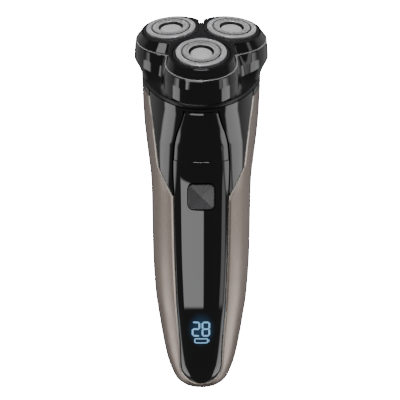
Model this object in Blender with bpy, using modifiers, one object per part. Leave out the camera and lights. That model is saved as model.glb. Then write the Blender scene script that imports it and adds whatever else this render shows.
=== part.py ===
# Cordless shaver with three round floating heads.
# World frame: metres, +Z up along the handle, the front panel faces -Y, the origin is the centre
# of the flat foot. Sizes below are millimetres unless a name says degrees.
import bmesh
import bpy
import numpy as np
from math import atan2, ceil, cos, pi, radians, sin, sqrt
from mathutils import Matrix, Vector

MM = 0.001

# ---- driving dimensions -------------------------------------------------------------------
GAP = 0.3                  # clearance between neighbouring pieces
STRAIGHT_HEIGHT = 121.5    # foot to the point where the handle starts to lean forward
BEND_RADIUS = 68.7
HEAD_TILT_DEG = 19.0       # lean of the head axis
NECK_RISE = 25.0           # end of the bend to the plane of the guards

# handle sections, as (share of the straight height, half width, front depth, back depth)
HANDLE_STATIONS = [
    (0.000, 9.2, 8.6, 8.6),
    (0.018, 11.8, 10.8, 10.8),
    (0.045, 13.6, 12.3, 12.3),
    (0.105, 16.1, 14.2, 14.2),
    (0.172, 17.8, 15.6, 15.6),
    (0.260, 19.5, 17.0, 17.0),
    (0.385, 21.5, 18.6, 18.4),
    (0.550, 22.5, 19.6, 19.2),
    (0.800, 22.8, 20.2, 19.8),
    (0.950, 23.8, 21.4, 21.0),
    (1.120, 25.4, 24.0, 22.6),
    (1.250, 25.8, 26.4, 23.6),
]
LOBE_BLEND_START = 0.80    # share of the straight height where the three-lobed neck begins
NECK_FULL_DEPTH = 21.3     # depth under the guards where the lobes are complete
WALL = 1.8

# front panel, as (share of the straight height, half width)
PANEL_STATIONS = [
    (0.10, 9.4), (0.20, 9.7), (0.38, 11.0), (0.60, 11.9), (0.80, 12.2),
    (0.90, 12.5), (0.97, 12.1), (1.06, 10.6), (1.12, 9.0), (1.22, 7.0),
]
PANEL_BOTTOM = 3.9
PANEL_TOP = 146.3
PANEL_ROUND = 9.4          # radius of the panel's lower end
PANEL_END_GAP = 0.65       # clearance under the panel's lower end
PANEL_SIDE_GAP = 0.42
ROUND_SHARES = (0.03, 0.12, 0.28, 0.55, 1.0)
PANEL_THICKNESS = 1.5
PANEL_CROWN = 0.45         # how far the panel stands proud inside its bevel

SHOULDER_LOW = 96.0        # the casing leaves the panel's edge here
SHOULDER_HIGH = 109.0
STRIP_EDGE_LOW = 19.4      # casing edge half width at the shoulder's top
STRIP_EDGE_HIGH = 22.9     # and at the neck
FRONT_SHELL_BOTTOM = 85.0
RECESS = PANEL_THICKNESS + GAP
ROW_STEP = 0.05            # height over which a step in a wall happens

# head
POD_RADIUS = 15.4          # head axis to the axis of each guard
POD_TILT_DEG = 4.3
GUARD_RADIUS = 10.8
RING_RADIUS = 12.1
RIM_SCALE = 0.928          # rim of the holder's top over its lower edge
POD_WALL_TOP = 15.0        # pod radius at the holder's lower edge
POD_WALL_MID = 16.1
POD_WALL_MAX = 16.4
HOLDER_FACE = 0.7          # depth of the holder's faces below the guard plane
HOLDER_BOTTOM = 5.0
CHAMBER_MID = 10.0
CHAMBER_BULGE = 16.2       # lower edge of the pods at the front
CHAMBER_BULGE_SIDE = 13.8  # and at the sides and the back
CHAMBER_BOTTOM = 18.6
RING_BOTTOM = 24.3         # lower edge of the neck ring, round the sides and the back
NECK_POD = 8.0             # the neck's lobes: their distance from the axis
NECK_LOBE = 18.9           # and their radius
HEAD_WALL = 1.6
LOBE_SHARPNESS = 5.0

GUARD_SKIN = 0.35
OPENING_TOP = 5.0          # ends of the tools that cut the holder's openings
OPENING_BOTTOM = -4.6
NOTCH_WIDTH = 2.0          # finger notch at the back of the holder
NOTCH_LENGTH = 3.2
NOTCH_DEPTH = 2.2
WINDOW_RADIUS = 5.3
WINDOW_DEPTH = 1.5
CUTTER_BLADES = 9
HUB_RADIUS = 3.2
SOCKET_RADIUS = 2.3
SPINDLE_RADIUS = 1.5

CENTRE_TEETH = 12
SATELLITE_TEETH = 20
GEAR_THICKNESS = 2.8
CHAMBER_FLOOR = 10.5
FLOOR_THICKNESS = 1.5
COVER_THICKNESS = 1.2
NECK_CAP_THICKNESS = 2.0
SPIGOT_ROOM = 0.66          # clearance round the spigot and its seal, inside the chamber
SEAL_DEEP = 0.8
SEAL_WIDE = 0.5

MOTOR_RADIUS = 9.0
MOTOR_LENGTH = 22.0
SHAFT_RADIUS = 1.0
DRIVE_RADIUS = 1.7
DRIVE_SOCKET = 2.2
CENTRE_HUB = 3.6

BUTTON_HEIGHT = 97.2       # height of the button's centre
BUTTON_WIDTH = 11.6
BUTTON_TALL = 11.6
BUTTON_CORNER = 2.4
BUTTON_DISH = 0.5
BUTTON_TRAVEL = 0.6
BOARD_FACE = 10.4          # front face of the circuit board, in front of the handle's axis
BOARD_THICKNESS = 1.2
BOARD_HALF_WIDTH = 8.5
BOARD_LOW = 26.0
BOARD_HIGH = 106.0
DISPLAY_LOW = 27.0
DISPLAY_HIGH = 41.0
DISPLAY_HALF_WIDTH = 7.0
BATTERY_RADIUS = 7.1
BATTERY_LENGTH = 50.0
BATTERY_LOW = 26.0
BATTERY_BACK = 1.6         # battery axis behind the handle's axis
FRAME_THICKNESS = 1.6
SOCKET_HEIGHT = 17.5       # charging socket centre
SOCKET_HALF_WIDTH = 4.5
SOCKET_HALF_TALL = 1.7
SOCKET_LENGTH = 6.6

HEAD_TILT = radians(HEAD_TILT_DEG)
POD_TILT = radians(POD_TILT_DEG)
POD_TURNS = [0.0, 2 * pi / 3, 4 * pi / 3]
NECK_SEAM = CHAMBER_BOTTOM + GAP
HANDLE_TOP_DEPTH = NECK_SEAM + NECK_CAP_THICKNESS + GAP


def smooth_step(x):
    x = np.clip(x, 0.0, 1.0)
    return x * x * (3 - 2 * x)


def through(stations, column, share):
    """Smooth curve through one column of a station list: a monotone cubic in the share."""
    x = np.array([row[0] for row in stations])
    y = np.array([row[column] for row in stations])
    slope = np.diff(y) / np.diff(x)
    tangent = np.zeros_like(y)
    tangent[1:-1] = np.where(slope[1:] * slope[:-1] > 0,
                             2 * slope[1:] * slope[:-1] / (slope[1:] + slope[:-1] + 1e-12), 0.0)
    tangent[0] = slope[0]
    tangent[-1] = slope[-1]
    share = np.clip(share, x[0], x[-1])
    i = np.clip(np.searchsorted(x, share) - 1, 0, len(x) - 2)
    step = x[i + 1] - x[i]
    t = (share - x[i]) / step
    return ((2 * t**3 - 3 * t**2 + 1) * y[i] + (t**3 - 2 * t**2 + t) * step * tangent[i]
            + (3 * t**2 - 2 * t**3) * y[i + 1] + (t**3 - t**2) * step * tangent[i + 1])


def lobes(angle, pod, radius, sharpness=LOBE_SHARPNESS):
    """Polar radius of three merged circles: the circles' far edges joined by a power mean."""
    total = 0.0
    for turn in POD_TURNS:
        swing = angle - turn
        reach = pod * np.cos(swing) + np.sqrt(np.maximum(radius**2 - (pod * np.sin(swing))**2, 0.0))
        total = total + np.maximum(reach, 0.0)**sharpness
    return total**(1 / sharpness)


def axis_point(s):
    """Point of the handle's curved axis, s millimetres along it from the foot: y and z."""
    bend_end = STRAIGHT_HEIGHT + BEND_RADIUS * HEAD_TILT
    lean = np.clip((s - STRAIGHT_HEIGHT) / BEND_RADIUS, 0.0, HEAD_TILT)
    over = np.maximum(s - bend_end, 0.0)
    y = -BEND_RADIUS * (1 - np.cos(lean)) - over * sin(HEAD_TILT)
    z = np.minimum(s, STRAIGHT_HEIGHT) + BEND_RADIUS * np.sin(lean) + over * cos(HEAD_TILT)
    return y, z, lean


AXIS_LENGTH = STRAIGHT_HEIGHT + BEND_RADIUS * HEAD_TILT + NECK_RISE
HEAD_Y, HEAD_Z, _ = (float(v) for v in axis_point(AXIS_LENGTH))
CASING_TOP = AXIS_LENGTH - RING_BOTTOM - GAP
SHELL_TOP = AXIS_LENGTH - HANDLE_TOP_DEPTH


def handle_surface(angle, s):
    """Outer skin: an ellipse at each height that turns into the lobed neck, square to the axis."""
    share = s / STRAIGHT_HEIGHT
    half = through(HANDLE_STATIONS, 1, share)
    depth = np.where(np.cos(angle) > 0, through(HANDLE_STATIONS, 2, share),
                     through(HANDLE_STATIONS, 3, share))
    neck_share = (AXIS_LENGTH - NECK_FULL_DEPTH) / STRAIGHT_HEIGHT
    blend = smooth_step((share - LOBE_BLEND_START) / (neck_share - LOBE_BLEND_START))
    neck = lobes(angle, NECK_POD, NECK_LOBE)
    across = (1 - blend) * half * np.sin(angle) + blend * neck * np.sin(angle)
    front = (1 - blend) * depth * np.cos(angle) + blend * neck * np.cos(angle)
    y, z, lean = axis_point(s)
    return np.stack([across, y - front * np.cos(lean), z - front * np.sin(lean)], axis=-1)


def angle_at(half_width, s):
    """Angle round the handle at which its skin lies a given distance from the middle plane."""
    low = np.zeros_like(s)
    high = np.full_like(s, pi / 2)
    for _ in range(30):
        middle = (low + high) / 2
        inside = handle_surface(middle, s)[..., 0] < half_width
        low = np.where(inside, middle, low)
        high = np.where(inside, high, middle)
    return (low + high) / 2


def panel_half_width(s):
    """Half width of the front panel: its stations, closed by a round lower end."""
    half = through(PANEL_STATIONS, 1, s / STRAIGHT_HEIGHT)
    below = np.clip((PANEL_BOTTOM + PANEL_ROUND - s) / PANEL_ROUND, 0.0, 1.0)
    return half * np.sqrt(np.maximum(1 - below**2, 0.0))


def casing_half_width(s):
    """Half width of the gap between the casing's edges: beside the panel, then out to the strips."""
    beside = panel_half_width(s + PANEL_END_GAP) + PANEL_SIDE_GAP
    along = np.clip((s - SHOULDER_HIGH) / (CASING_TOP - SHOULDER_HIGH), 0.0, 1.0)
    strip = STRIP_EDGE_LOW + (STRIP_EDGE_HIGH - STRIP_EDGE_LOW) * along
    shoulder = np.clip((s - SHOULDER_LOW) / (SHOULDER_HIGH - SHOULDER_LOW), 0.0, 1.0)
    return beside + (strip - beside) * shoulder


def skin_normals(angle, s):
    """Outward unit normals of the handle's skin, from small steps round it and along it."""
    small = 1e-3
    around = handle_surface(angle + small, s) - handle_surface(angle - small, s)
    along = handle_surface(angle, s + small) - handle_surface(angle, np.maximum(s - small, 0.0))
    normal = np.cross(around, along)
    return normal / np.linalg.norm(normal, axis=-1, keepdims=True)


# ---- making objects -----------------------------------------------------------------------
for old in list(bpy.data.objects):
    bpy.data.objects.remove(old, do_unlink=True)

parts = bpy.data.collections.new("rotary_shaver")
cutters = bpy.data.collections.new("rotary_shaver_cutters")
for collection in (parts, cutters):
    bpy.context.scene.collection.children.link(collection)


def material(name, colour, roughness, metallic=0.0):
    made = bpy.data.materials.new(name)
    made.use_nodes = True
    shader = made.node_tree.nodes["Principled BSDF"]
    shader.inputs["Base Color"].default_value = (*colour, 1)
    shader.inputs["Roughness"].default_value = roughness
    shader.inputs["Metallic"].default_value = metallic
    return made


BLACK_GLOSS = material("black_gloss", (0.010, 0.010, 0.011), 0.08)
BLACK_SATIN = material("black_satin", (0.020, 0.020, 0.021), 0.35)
DARK_PLASTIC = material("dark_plastic", (0.05, 0.05, 0.055), 0.5)
CHAMPAGNE = material("champagne", (0.36, 0.29, 0.25), 0.3, 0.85)
STEEL = material("steel", (0.62, 0.62, 0.63), 0.25, 1.0)
PALE_STEEL = material("pale_steel", (0.75, 0.75, 0.76), 0.35, 0.8)
WHITE_PLASTIC = material("white_plastic", (0.75, 0.75, 0.72), 0.45)
RUBBER = material("rubber", (0.02, 0.02, 0.02), 0.8)
BRASS = material("brass", (0.75, 0.55, 0.25), 0.3, 1.0)
BOARD_GREEN = material("board_green", (0.02, 0.16, 0.06), 0.5)
CELL_BLUE = material("cell_blue", (0.05, 0.14, 0.35), 0.4)
GLOW = material("glow", (0.45, 0.70, 0.95), 0.4)


def empty(name, parent=None, matrix=None):
    made = bpy.data.objects.new(name, None)
    parts.objects.link(made)
    made.parent = parent
    if matrix is not None:
        made.matrix_local = matrix
    return made


def place(name, mesh, look, parent=None, at=(0, 0, 0), collection=None):
    made = bpy.data.objects.new(name, mesh)
    (collection or parts).objects.link(made)
    made.location = Vector(at) * MM
    made.parent = parent
    if look:
        mesh.materials.append(look)
    return made


def mesh_from(name, points, faces):
    """A mesh from points in millimetres, merged where they coincide, with its faces outwards."""
    mesh = bpy.data.meshes.new(name)
    mesh.from_pydata([tuple(p) for p in np.asarray(points) * MM], [],
                     [tuple(int(corner) for corner in face) for face in faces])
    shape = bmesh.new()
    shape.from_mesh(mesh)
    bmesh.ops.remove_doubles(shape, verts=shape.verts, dist=1e-6)
    bmesh.ops.dissolve_degenerate(shape, edges=shape.edges, dist=1e-7)
    bmesh.ops.recalc_face_normals(shape, faces=shape.faces)
    shape.to_mesh(mesh)
    shape.free()
    return mesh


def turned(name, profile, look, parent=None, at=(0, 0, 0), steps=32, collection=None):
    """A turned piece: (radius, height) points down the outer side, closed back to the start."""
    closed = profile[0][0] > 0 or profile[-1][0] > 0
    count = len(profile)
    edges = [(i, i + 1) for i in range(count - 1)] + ([(count - 1, 0)] if closed else [])
    mesh = bpy.data.meshes.new(name)
    mesh.from_pydata([(r * MM, 0, z * MM) for r, z in profile], edges, [])
    made = place(name, mesh, look, parent, at, collection)
    screw = made.modifiers.new("turn", "SCREW")
    screw.steps = screw.render_steps = steps
    screw.use_merge_vertices = True
    screw.merge_threshold = 1e-6
    return made


def block(name, low, high, look, parent=None, collection=None, round_by=0.0, along=2):
    """A box from its low corner to its high one, with its edges along one axis rounded if asked."""
    low, high = Vector(low), Vector(high)
    shape = bmesh.new()
    bmesh.ops.create_cube(shape, size=1)
    bmesh.ops.scale(shape, vec=(high - low) * MM, verts=shape.verts)
    if round_by:
        upright = [e for e in shape.edges
                   if abs((e.verts[0].co - e.verts[1].co).normalized()[along]) > 0.9]
        bmesh.ops.bevel(shape, geom=upright, offset=round_by * MM, segments=3, profile=0.5,
                        affect="EDGES")
    mesh = bpy.data.meshes.new(name)
    shape.to_mesh(mesh)
    shape.free()
    return place(name, mesh, look, parent, (low + high) / 2, collection)


def plate(name, outlines, low, high, look, parent=None, at=(0, 0, 0), collection=None):
    """A flat plate between two heights, from one outline and the outlines of its holes."""
    curve = bpy.data.curves.new(name, "CURVE")
    curve.dimensions = "2D"
    curve.fill_mode = "BOTH"
    curve.extrude = (high - low) / 2 * MM
    for outline in outlines:
        spline = curve.splines.new("POLY")
        spline.points.add(len(outline) - 1)
        corners = np.array([(x * MM, y * MM, 0, 1) for x, y in outline])
        spline.points.foreach_set("co", corners.ravel())
        spline.use_cyclic_u = True
    drawn = bpy.data.objects.new(name + "_outline", curve)
    cutters.objects.link(drawn)
    graph = bpy.context.evaluated_depsgraph_get()
    mesh = bpy.data.meshes.new_from_object(drawn.evaluated_get(graph))
    bpy.data.objects.remove(drawn, do_unlink=True)
    shape = bmesh.new()
    shape.from_mesh(mesh)
    bmesh.ops.remove_doubles(shape, verts=shape.verts, dist=1e-6)
    bmesh.ops.recalc_face_normals(shape, faces=shape.faces)
    bmesh.ops.translate(shape, verts=shape.verts, vec=(0, 0, (low + high) / 2 * MM))
    shape.to_mesh(mesh)
    shape.free()
    return place(name, mesh, look, parent, at, collection)


def circle(radius, count=24, centre=(0.0, 0.0)):
    turn = np.arange(count) * 2 * pi / count
    return [(centre[0] + radius * cos(a), centre[1] + radius * sin(a)) for a in turn]


def boolean(made, other, operation="DIFFERENCE"):
    step = made.modifiers.new(operation.lower(), "BOOLEAN")
    step.operation = operation
    step.object = other
    step.solver = "EXACT"
    other.hide_render = True
    other.display_type = "WIRE"


def ring_grid(rows):
    """Closed skin from rings of points: each row a closed ring, the first and last a single point."""
    count = len(rows[0])
    points = [rows[0][0]]
    for row in rows[1:-1]:
        points.extend(row)
    points.append(rows[-1][0])
    faces = []
    for j in range(count):
        k = (j + 1) % count
        faces.append((0, 1 + k, 1 + j))
        for i in range(len(rows) - 3):
            a = 1 + i * count
            b = a + count
            faces.append((a + j, a + k, b + k, b + j))
        last = 1 + (len(rows) - 3) * count
        faces.append((last + j, last + k, len(points) - 1))
    return points, faces


def solid_between(name, outer, inner, look, joined_rows=0):
    """A wall between two grids of points, closed round its edges. The first joined rows are closed
    already: they start at one point and meet themselves where their columns end."""
    rows, columns = outer.shape[:2]
    grid = np.arange(rows * columns).reshape(rows, columns)
    back = grid + rows * columns
    faces = []
    for i in range(rows - 1):
        for j in range(columns - 1):
            faces.append((grid[i, j], grid[i, j + 1], grid[i + 1, j + 1], grid[i + 1, j]))
            faces.append((back[i + 1, j], back[i + 1, j + 1], back[i, j + 1], back[i, j]))
        if i >= joined_rows - 1:
            faces.append((grid[i + 1, 0], back[i + 1, 0], back[i, 0], grid[i, 0]))
            faces.append((grid[i, -1], back[i, -1], back[i + 1, -1], grid[i + 1, -1]))
    for j in range(columns - 1):
        faces.append((grid[-1, j], grid[-1, j + 1], back[-1, j + 1], back[-1, j]))
        if not joined_rows:
            faces.append((back[0, j], back[0, j + 1], grid[0, j + 1], grid[0, j]))
    points = np.concatenate([outer.reshape(-1, 3), inner.reshape(-1, 3)])
    return place(name, mesh_from(name, points, faces), look)


# ---- handle shells ------------------------------------------------------------------------


def rows_between(low, high, step):
    return np.linspace(low, high, int(ceil((high - low) / step)) + 1)


def rear_casing():
    """The champagne shell: the handle's skin outside the panel and the front shell, with the foot."""
    seam = PANEL_BOTTOM - PANEL_END_GAP
    foot = np.array([0.0, 0.5])                                  # shares of the flat foot's radius
    low = np.array([0.0, 0.8, 1.6, 2.5, seam])
    near = seam + PANEL_ROUND * np.array(ROUND_SHARES)
    beside = rows_between(seam + PANEL_ROUND, SHOULDER_LOW, 16.0)[1:]
    shoulder = rows_between(SHOULDER_LOW, SHOULDER_HIGH, 4.5)[1:]
    strip = rows_between(SHOULDER_HIGH, CASING_TOP, 9.0)[1:]
    heights = np.concatenate([low, near, beside, shoulder, strip])
    edge = angle_at(casing_half_width(heights), heights)
    edge[:len(low)] = 0.0
    share = (1 - np.cos(np.linspace(0, pi, 19))) / 2 * 0.35 + np.linspace(0, 1, 19) * 0.65
    angle = edge[:, None] + (2 * pi - 2 * edge[:, None]) * share[None, :]
    height = np.broadcast_to(heights[:, None], angle.shape)
    wall = handle_surface(angle, height)
    ground = wall[0][None] * foot[:, None, None]
    down = np.array([0.0, 0.0, -1.0])
    out = skin_normals(angle, height)
    out[0] = (out[0] + down) / np.linalg.norm(out[0] + down, axis=-1, keepdims=True)
    outer = np.concatenate([ground, wall])
    out = np.concatenate([np.broadcast_to(down, ground.shape), out])
    return solid_between("rear_casing", outer, outer - out * WALL, CHAMPAGNE,
                         joined_rows=len(foot) + len(low))


def neck_ring():
    """The band over the casing's top, round the sides and the back, between casing and lid."""
    heights = rows_between(AXIS_LENGTH - RING_BOTTOM, SHELL_TOP, 4.0)
    edge = angle_at(casing_half_width(heights), heights)
    angle = edge[:, None] + (2 * pi - 2 * edge[:, None]) * np.linspace(0, 1, 25)[None, :]
    height = np.broadcast_to(heights[:, None], angle.shape)
    wall = handle_surface(angle, height)
    return solid_between("neck_ring", wall, wall - skin_normals(angle, height) * WALL, BLACK_GLOSS)


def upper_front_shell():
    """The black front of the handle's upper half, sunk under the panel and open for the button."""
    split = SHOULDER_LOW + 0.15 * (SHOULDER_HIGH - SHOULDER_LOW)
    heights = np.concatenate([
        rows_between(FRONT_SHELL_BOTTOM, split, 6.0),
        rows_between(split + ROW_STEP, SHOULDER_HIGH, 3.3),
        rows_between(SHOULDER_HIGH, PANEL_TOP + GAP, 8.0)[1:],
        [PANEL_TOP + GAP + ROW_STEP, SHELL_TOP - 0.6, SHELL_TOP],
    ])
    under = heights <= split
    side = np.where(under, panel_half_width(heights) - 0.02, casing_half_width(heights) - GAP)
    recess = np.where(under, side - 0.1, panel_half_width(heights) + GAP)
    open_top = heights > PANEL_TOP + GAP
    edge = angle_at(side, heights)[:, None]
    step_out = angle_at(recess + ROW_STEP, heights)[:, None]
    step_in = angle_at(recess, heights)[:, None]
    legs = np.linspace(0, 1, 3)[None, :]
    middle = np.linspace(-1, 1, 7)[None, :]
    angle = np.concatenate([-edge + (edge - step_out) * legs, step_in * middle,
                            step_out + (edge - step_out) * legs], axis=1)
    sunk = np.concatenate([np.where(under[:, None], 1.0, 0.0) * np.ones_like(legs),
                           np.where(open_top[:, None], 0.0, 1.0) * np.ones_like(middle),
                           np.where(under[:, None], 1.0, 0.0) * np.ones_like(legs)], axis=1)
    height = np.broadcast_to(heights[:, None], angle.shape)
    skin = handle_surface(angle, height)
    out = skin_normals(angle, height)
    outer = skin - out * (sunk * RECESS)[..., None]
    inner = skin - out * (sunk * RECESS + WALL)[..., None]
    return solid_between("upper_front_shell", outer, inner, BLACK_GLOSS)


def front_panel():
    """The tie-shaped gloss panel, bevelled round its edge and crowned between."""
    round_end = PANEL_BOTTOM + PANEL_ROUND * np.array((0.0,) + ROUND_SHARES)
    heights = np.concatenate([round_end, rows_between(round_end[-1], PANEL_TOP, 9.0)[1:]])
    half = np.maximum(panel_half_width(heights), 0.8)
    edge = angle_at(half, heights)[:, None]
    across = np.array([-1, -0.82, -0.4, 0, 0.4, 0.82, 1])[None, :]
    angle = edge * across
    crown = np.where(np.abs(across) < 0.9, PANEL_CROWN, 0.0) * np.ones_like(edge)
    crown[0] = crown[-1] = 0.0
    height = np.broadcast_to(heights[:, None], angle.shape)
    skin = handle_surface(angle, height)
    out = skin_normals(angle, height)
    return solid_between("front_panel", skin + out * crown[..., None],
                         skin - out * PANEL_THICKNESS, BLACK_GLOSS)


def button_cutter(name, clearance, low_y, high_y):
    half_wide = BUTTON_WIDTH / 2 + clearance
    half_tall = BUTTON_TALL / 2 + clearance
    return block(name, (-half_wide, low_y, BUTTON_HEIGHT - half_tall),
                 (half_wide, high_y, BUTTON_HEIGHT + half_tall), None, collection=cutters,
                 round_by=BUTTON_CORNER + clearance, along=1)


casing = rear_casing()
neck_ring()
front = upper_front_shell()
panel = front_panel()

# charging socket in the casing's back
SKIN_BACK = float(handle_surface(np.array(pi), np.array(SOCKET_HEIGHT))[1])
SOCKET_LOW = SOCKET_HEIGHT - SOCKET_HALF_TALL
SOCKET_TOP = SOCKET_HEIGHT + SOCKET_HALF_TALL
SOCKET_SKIN = 0.4
port = block("port_cutter", (-SOCKET_HALF_WIDTH - GAP, SKIN_BACK - 6, SOCKET_LOW - GAP),
             (SOCKET_HALF_WIDTH + GAP, SKIN_BACK + 3, SOCKET_TOP + GAP), None,
             collection=cutters, round_by=1.4, along=1)
boolean(casing, port)
socket = block("charge_socket",
               (-SOCKET_HALF_WIDTH, SKIN_BACK - SOCKET_LENGTH - 0.8, SOCKET_LOW),
               (SOCKET_HALF_WIDTH, SKIN_BACK - 0.8, SOCKET_TOP), STEEL, round_by=1.2, along=1)
socket_mouth = block("socket_mouth_cutter",
                     (-SOCKET_HALF_WIDTH + SOCKET_SKIN, SKIN_BACK - SOCKET_LENGTH, SOCKET_LOW + SOCKET_SKIN),
                     (SOCKET_HALF_WIDTH - SOCKET_SKIN, SKIN_BACK, SOCKET_TOP - SOCKET_SKIN), None,
                     collection=cutters, round_by=0.9, along=1)
boolean(socket, socket_mouth)

# power button, in openings of the panel and the shell under it
SKIN_FRONT = float(handle_surface(np.array(0.0), np.array(BUTTON_HEIGHT))[1])
hole = button_cutter("button_hole_cutter", GAP, SKIN_FRONT - 5, SKIN_FRONT + 8)
boolean(panel, hole)
boolean(front, hole)


def power_button():
    """The cap: a rounded square whose face is four triangles that dip to the middle, on a stem."""
    stem_back = -BOARD_FACE - 1.7 - BUTTON_TRAVEL - 2 * GAP
    face = SKIN_FRONT - PANEL_CROWN
    shape = bmesh.new()
    bmesh.ops.create_cube(shape, size=1)
    bmesh.ops.scale(shape, vec=(BUTTON_WIDTH * MM, 3.4 * MM, BUTTON_TALL * MM), verts=shape.verts)
    upright = [e for e in shape.edges if abs((e.verts[0].co - e.verts[1].co).y) > 1e-6]
    bmesh.ops.bevel(shape, geom=upright, offset=BUTTON_CORNER * MM, segments=3, profile=0.5,
                    affect="EDGES")
    front_face = min(shape.faces, key=lambda f: f.calc_center_median().y)
    poked = bmesh.ops.poke(shape, faces=[front_face])
    for vertex in poked["verts"]:
        vertex.co.y += BUTTON_DISH * MM
    mesh = bpy.data.meshes.new("power_button")
    shape.to_mesh(mesh)
    shape.free()
    made = place("power_button", mesh, BLACK_GLOSS, None, (0, face + 1.7, BUTTON_HEIGHT))
    stem = block("button_stem_cutter", (-2.2, face + 3.0, BUTTON_HEIGHT - 2.2),
                 (2.2, stem_back, BUTTON_HEIGHT + 2.2), None, collection=cutters)
    boolean(made, stem, "UNION")
    return made


power_button()

# ---- head shells, in the head's own frame -------------------------------------------------
head_frame = empty("head_frame", None, Matrix.Translation(Vector((0, HEAD_Y, HEAD_Z)) * MM)
                   @ Matrix.Rotation(HEAD_TILT, 4, "X"))
RING_ANGLES = np.arange(36) * 2 * pi / 36


def face_height(angle, radius):
    """Height of the holder's three tilted faces: each is square to its own guard's axis."""
    nearest = np.cos((angle + pi / 3) % (2 * pi / 3) - pi / 3)
    return -HOLDER_FACE + (POD_RADIUS - radius * nearest) * np.tan(POD_TILT)


def ring_at(radius, height):
    radius = radius * np.ones_like(RING_ANGLES)
    height = height * np.ones_like(RING_ANGLES)
    return np.stack([radius * np.sin(RING_ANGLES), -radius * np.cos(RING_ANGLES), height], axis=-1)


def bulge_depth(angle):
    """Depth of the pods' lower edge: deepest at the front, rising towards the sides and the back."""
    turned_away = (1 - np.cos(angle)) / 2
    return CHAMBER_BULGE - (CHAMBER_BULGE - CHAMBER_BULGE_SIDE) * smooth_step(turned_away * 2.2 - 0.2)


def chamber_radius(depth):
    """Radius round the head at a depth under the guard plane: pods that swell, then the neck."""
    bulge = bulge_depth(RING_ANGLES)
    share = np.clip((depth - HOLDER_BOTTOM) / (CHAMBER_MID - HOLDER_BOTTOM), 0, 1)
    lower = np.clip((depth - CHAMBER_MID) / (bulge - CHAMBER_MID), 0, 1)
    radius = (POD_WALL_TOP + (POD_WALL_MID - POD_WALL_TOP) * np.sin(share * pi / 2)
              + (POD_WALL_MAX - POD_WALL_MID) * lower)
    pods = lobes(RING_ANGLES, POD_RADIUS, radius)
    taper = np.clip((depth - bulge) / (CHAMBER_BOTTOM - bulge), 0, 1)
    return pods + (lobes(RING_ANGLES, NECK_POD, NECK_LOBE) - pods) * taper


def chamber_inside(depth):
    """Radius of the chamber's inner wall at a depth below its floor: straight between its rows."""
    bulge = bulge_depth(RING_ANGLES)
    depths = np.stack([np.full_like(bulge, CHAMBER_FLOOR + FLOOR_THICKNESS), bulge,
                       np.full_like(bulge, CHAMBER_BOTTOM)])
    radii = np.stack([chamber_radius(depths[0]), chamber_radius(bulge), chamber_radius(depths[2])])
    wanted = depth * np.ones_like(bulge)
    return np.array([np.interp(wanted[i], depths[:, i], radii[:, i])
                     for i in range(len(bulge))]) - HEAD_WALL


def head_holder():
    """Three tilted faces, a chamfer down to the seam, the same again inside, with round openings."""
    lower = lobes(RING_ANGLES, POD_RADIUS, POD_WALL_TOP)
    rim = lower * RIM_SCALE
    inner_lower = lower - HEAD_WALL
    inner_rim = rim - HEAD_WALL
    rows = [ring_at(0, face_height(RING_ANGLES, 0))]
    for share in (0.5, 1.0):
        rows.append(ring_at(rim * share, face_height(RING_ANGLES, rim * share)))
    rows.append(ring_at(lower, -HOLDER_BOTTOM))
    rows.append(ring_at(inner_lower, -HOLDER_BOTTOM))
    for share in (1.0, 0.5, 0.0):
        rows.append(ring_at(inner_rim * share, face_height(RING_ANGLES, inner_rim * share) - HEAD_WALL))
    points, faces = ring_grid(rows)
    made = place("head_holder", mesh_from("head_holder", points, faces), BLACK_GLOSS, head_frame)
    reach = RING_RADIUS + GAP
    for number, frame in enumerate(pod_frames, 1):
        opening = turned(f"opening_cutter_{number}", [
            (0, OPENING_TOP), (reach, OPENING_TOP), (reach, OPENING_BOTTOM), (0, OPENING_BOTTOM),
        ], None, frame, steps=31, collection=cutters)
        boolean(made, opening)
    back = float(lobes(np.array(pi), POD_RADIUS, POD_WALL_TOP)) * RIM_SCALE
    notch = block("notch_cutter", (-NOTCH_WIDTH / 2, back - NOTCH_LENGTH, -NOTCH_DEPTH),
                  (NOTCH_WIDTH / 2, back + 3, 3), None, head_frame, cutters)
    boolean(made, notch)
    return made


def hair_chamber():
    """The skirt: one wall, a floor across it, hollow above for clippings and below for the gears."""
    bulge = bulge_depth(RING_ANGLES)
    depths = [HOLDER_BOTTOM + GAP, 7.5, CHAMBER_MID, bulge, CHAMBER_BOTTOM]
    floor = CHAMBER_FLOOR
    ceiling = CHAMBER_FLOOR + FLOOR_THICKNESS
    rows = [ring_at(0, -floor)]
    rows.append(ring_at(chamber_radius(floor) - HEAD_WALL, -floor))
    rows.append(ring_at(chamber_radius(depths[0]) - HEAD_WALL, -depths[0]))
    for depth in depths:
        rows.append(ring_at(chamber_radius(depth), -depth))
    rows.append(ring_at(chamber_radius(CHAMBER_BOTTOM) - HEAD_WALL, -CHAMBER_BOTTOM))
    rows.append(ring_at(chamber_radius(bulge) - HEAD_WALL, -bulge))
    rows.append(ring_at(chamber_radius(ceiling) - HEAD_WALL, -ceiling))
    rows.append(ring_at(0, -ceiling))
    points, faces = ring_grid(rows)
    made = place("hair_chamber", mesh_from("hair_chamber", points, faces), BLACK_GLOSS, head_frame)
    for number, turn in enumerate(POD_TURNS, 1):
        x, y = SPINDLE_PLACE * sin(turn), -SPINDLE_PLACE * cos(turn)
        bore = turned(f"spindle_bore_cutter_{number}",
                      [(0, 2), (SPINDLE_RADIUS + 2 * GAP, 2), (SPINDLE_RADIUS + 2 * GAP, -4), (0, -4)],
                      None, head_frame, (x, y, -CHAMBER_FLOOR), 21, cutters)
        boolean(made, bore)
    return made


pod_frames = []
for number, turn in enumerate(POD_TURNS, 1):
    matrix = (Matrix.Rotation(turn, 4, "Z")
              @ Matrix.Translation(Vector((0, -POD_RADIUS, 0)) * MM)
              @ Matrix.Rotation(POD_TILT, 4, "X"))
    pod_frames.append(empty(f"pod_frame_{number}", head_frame, matrix))

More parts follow.
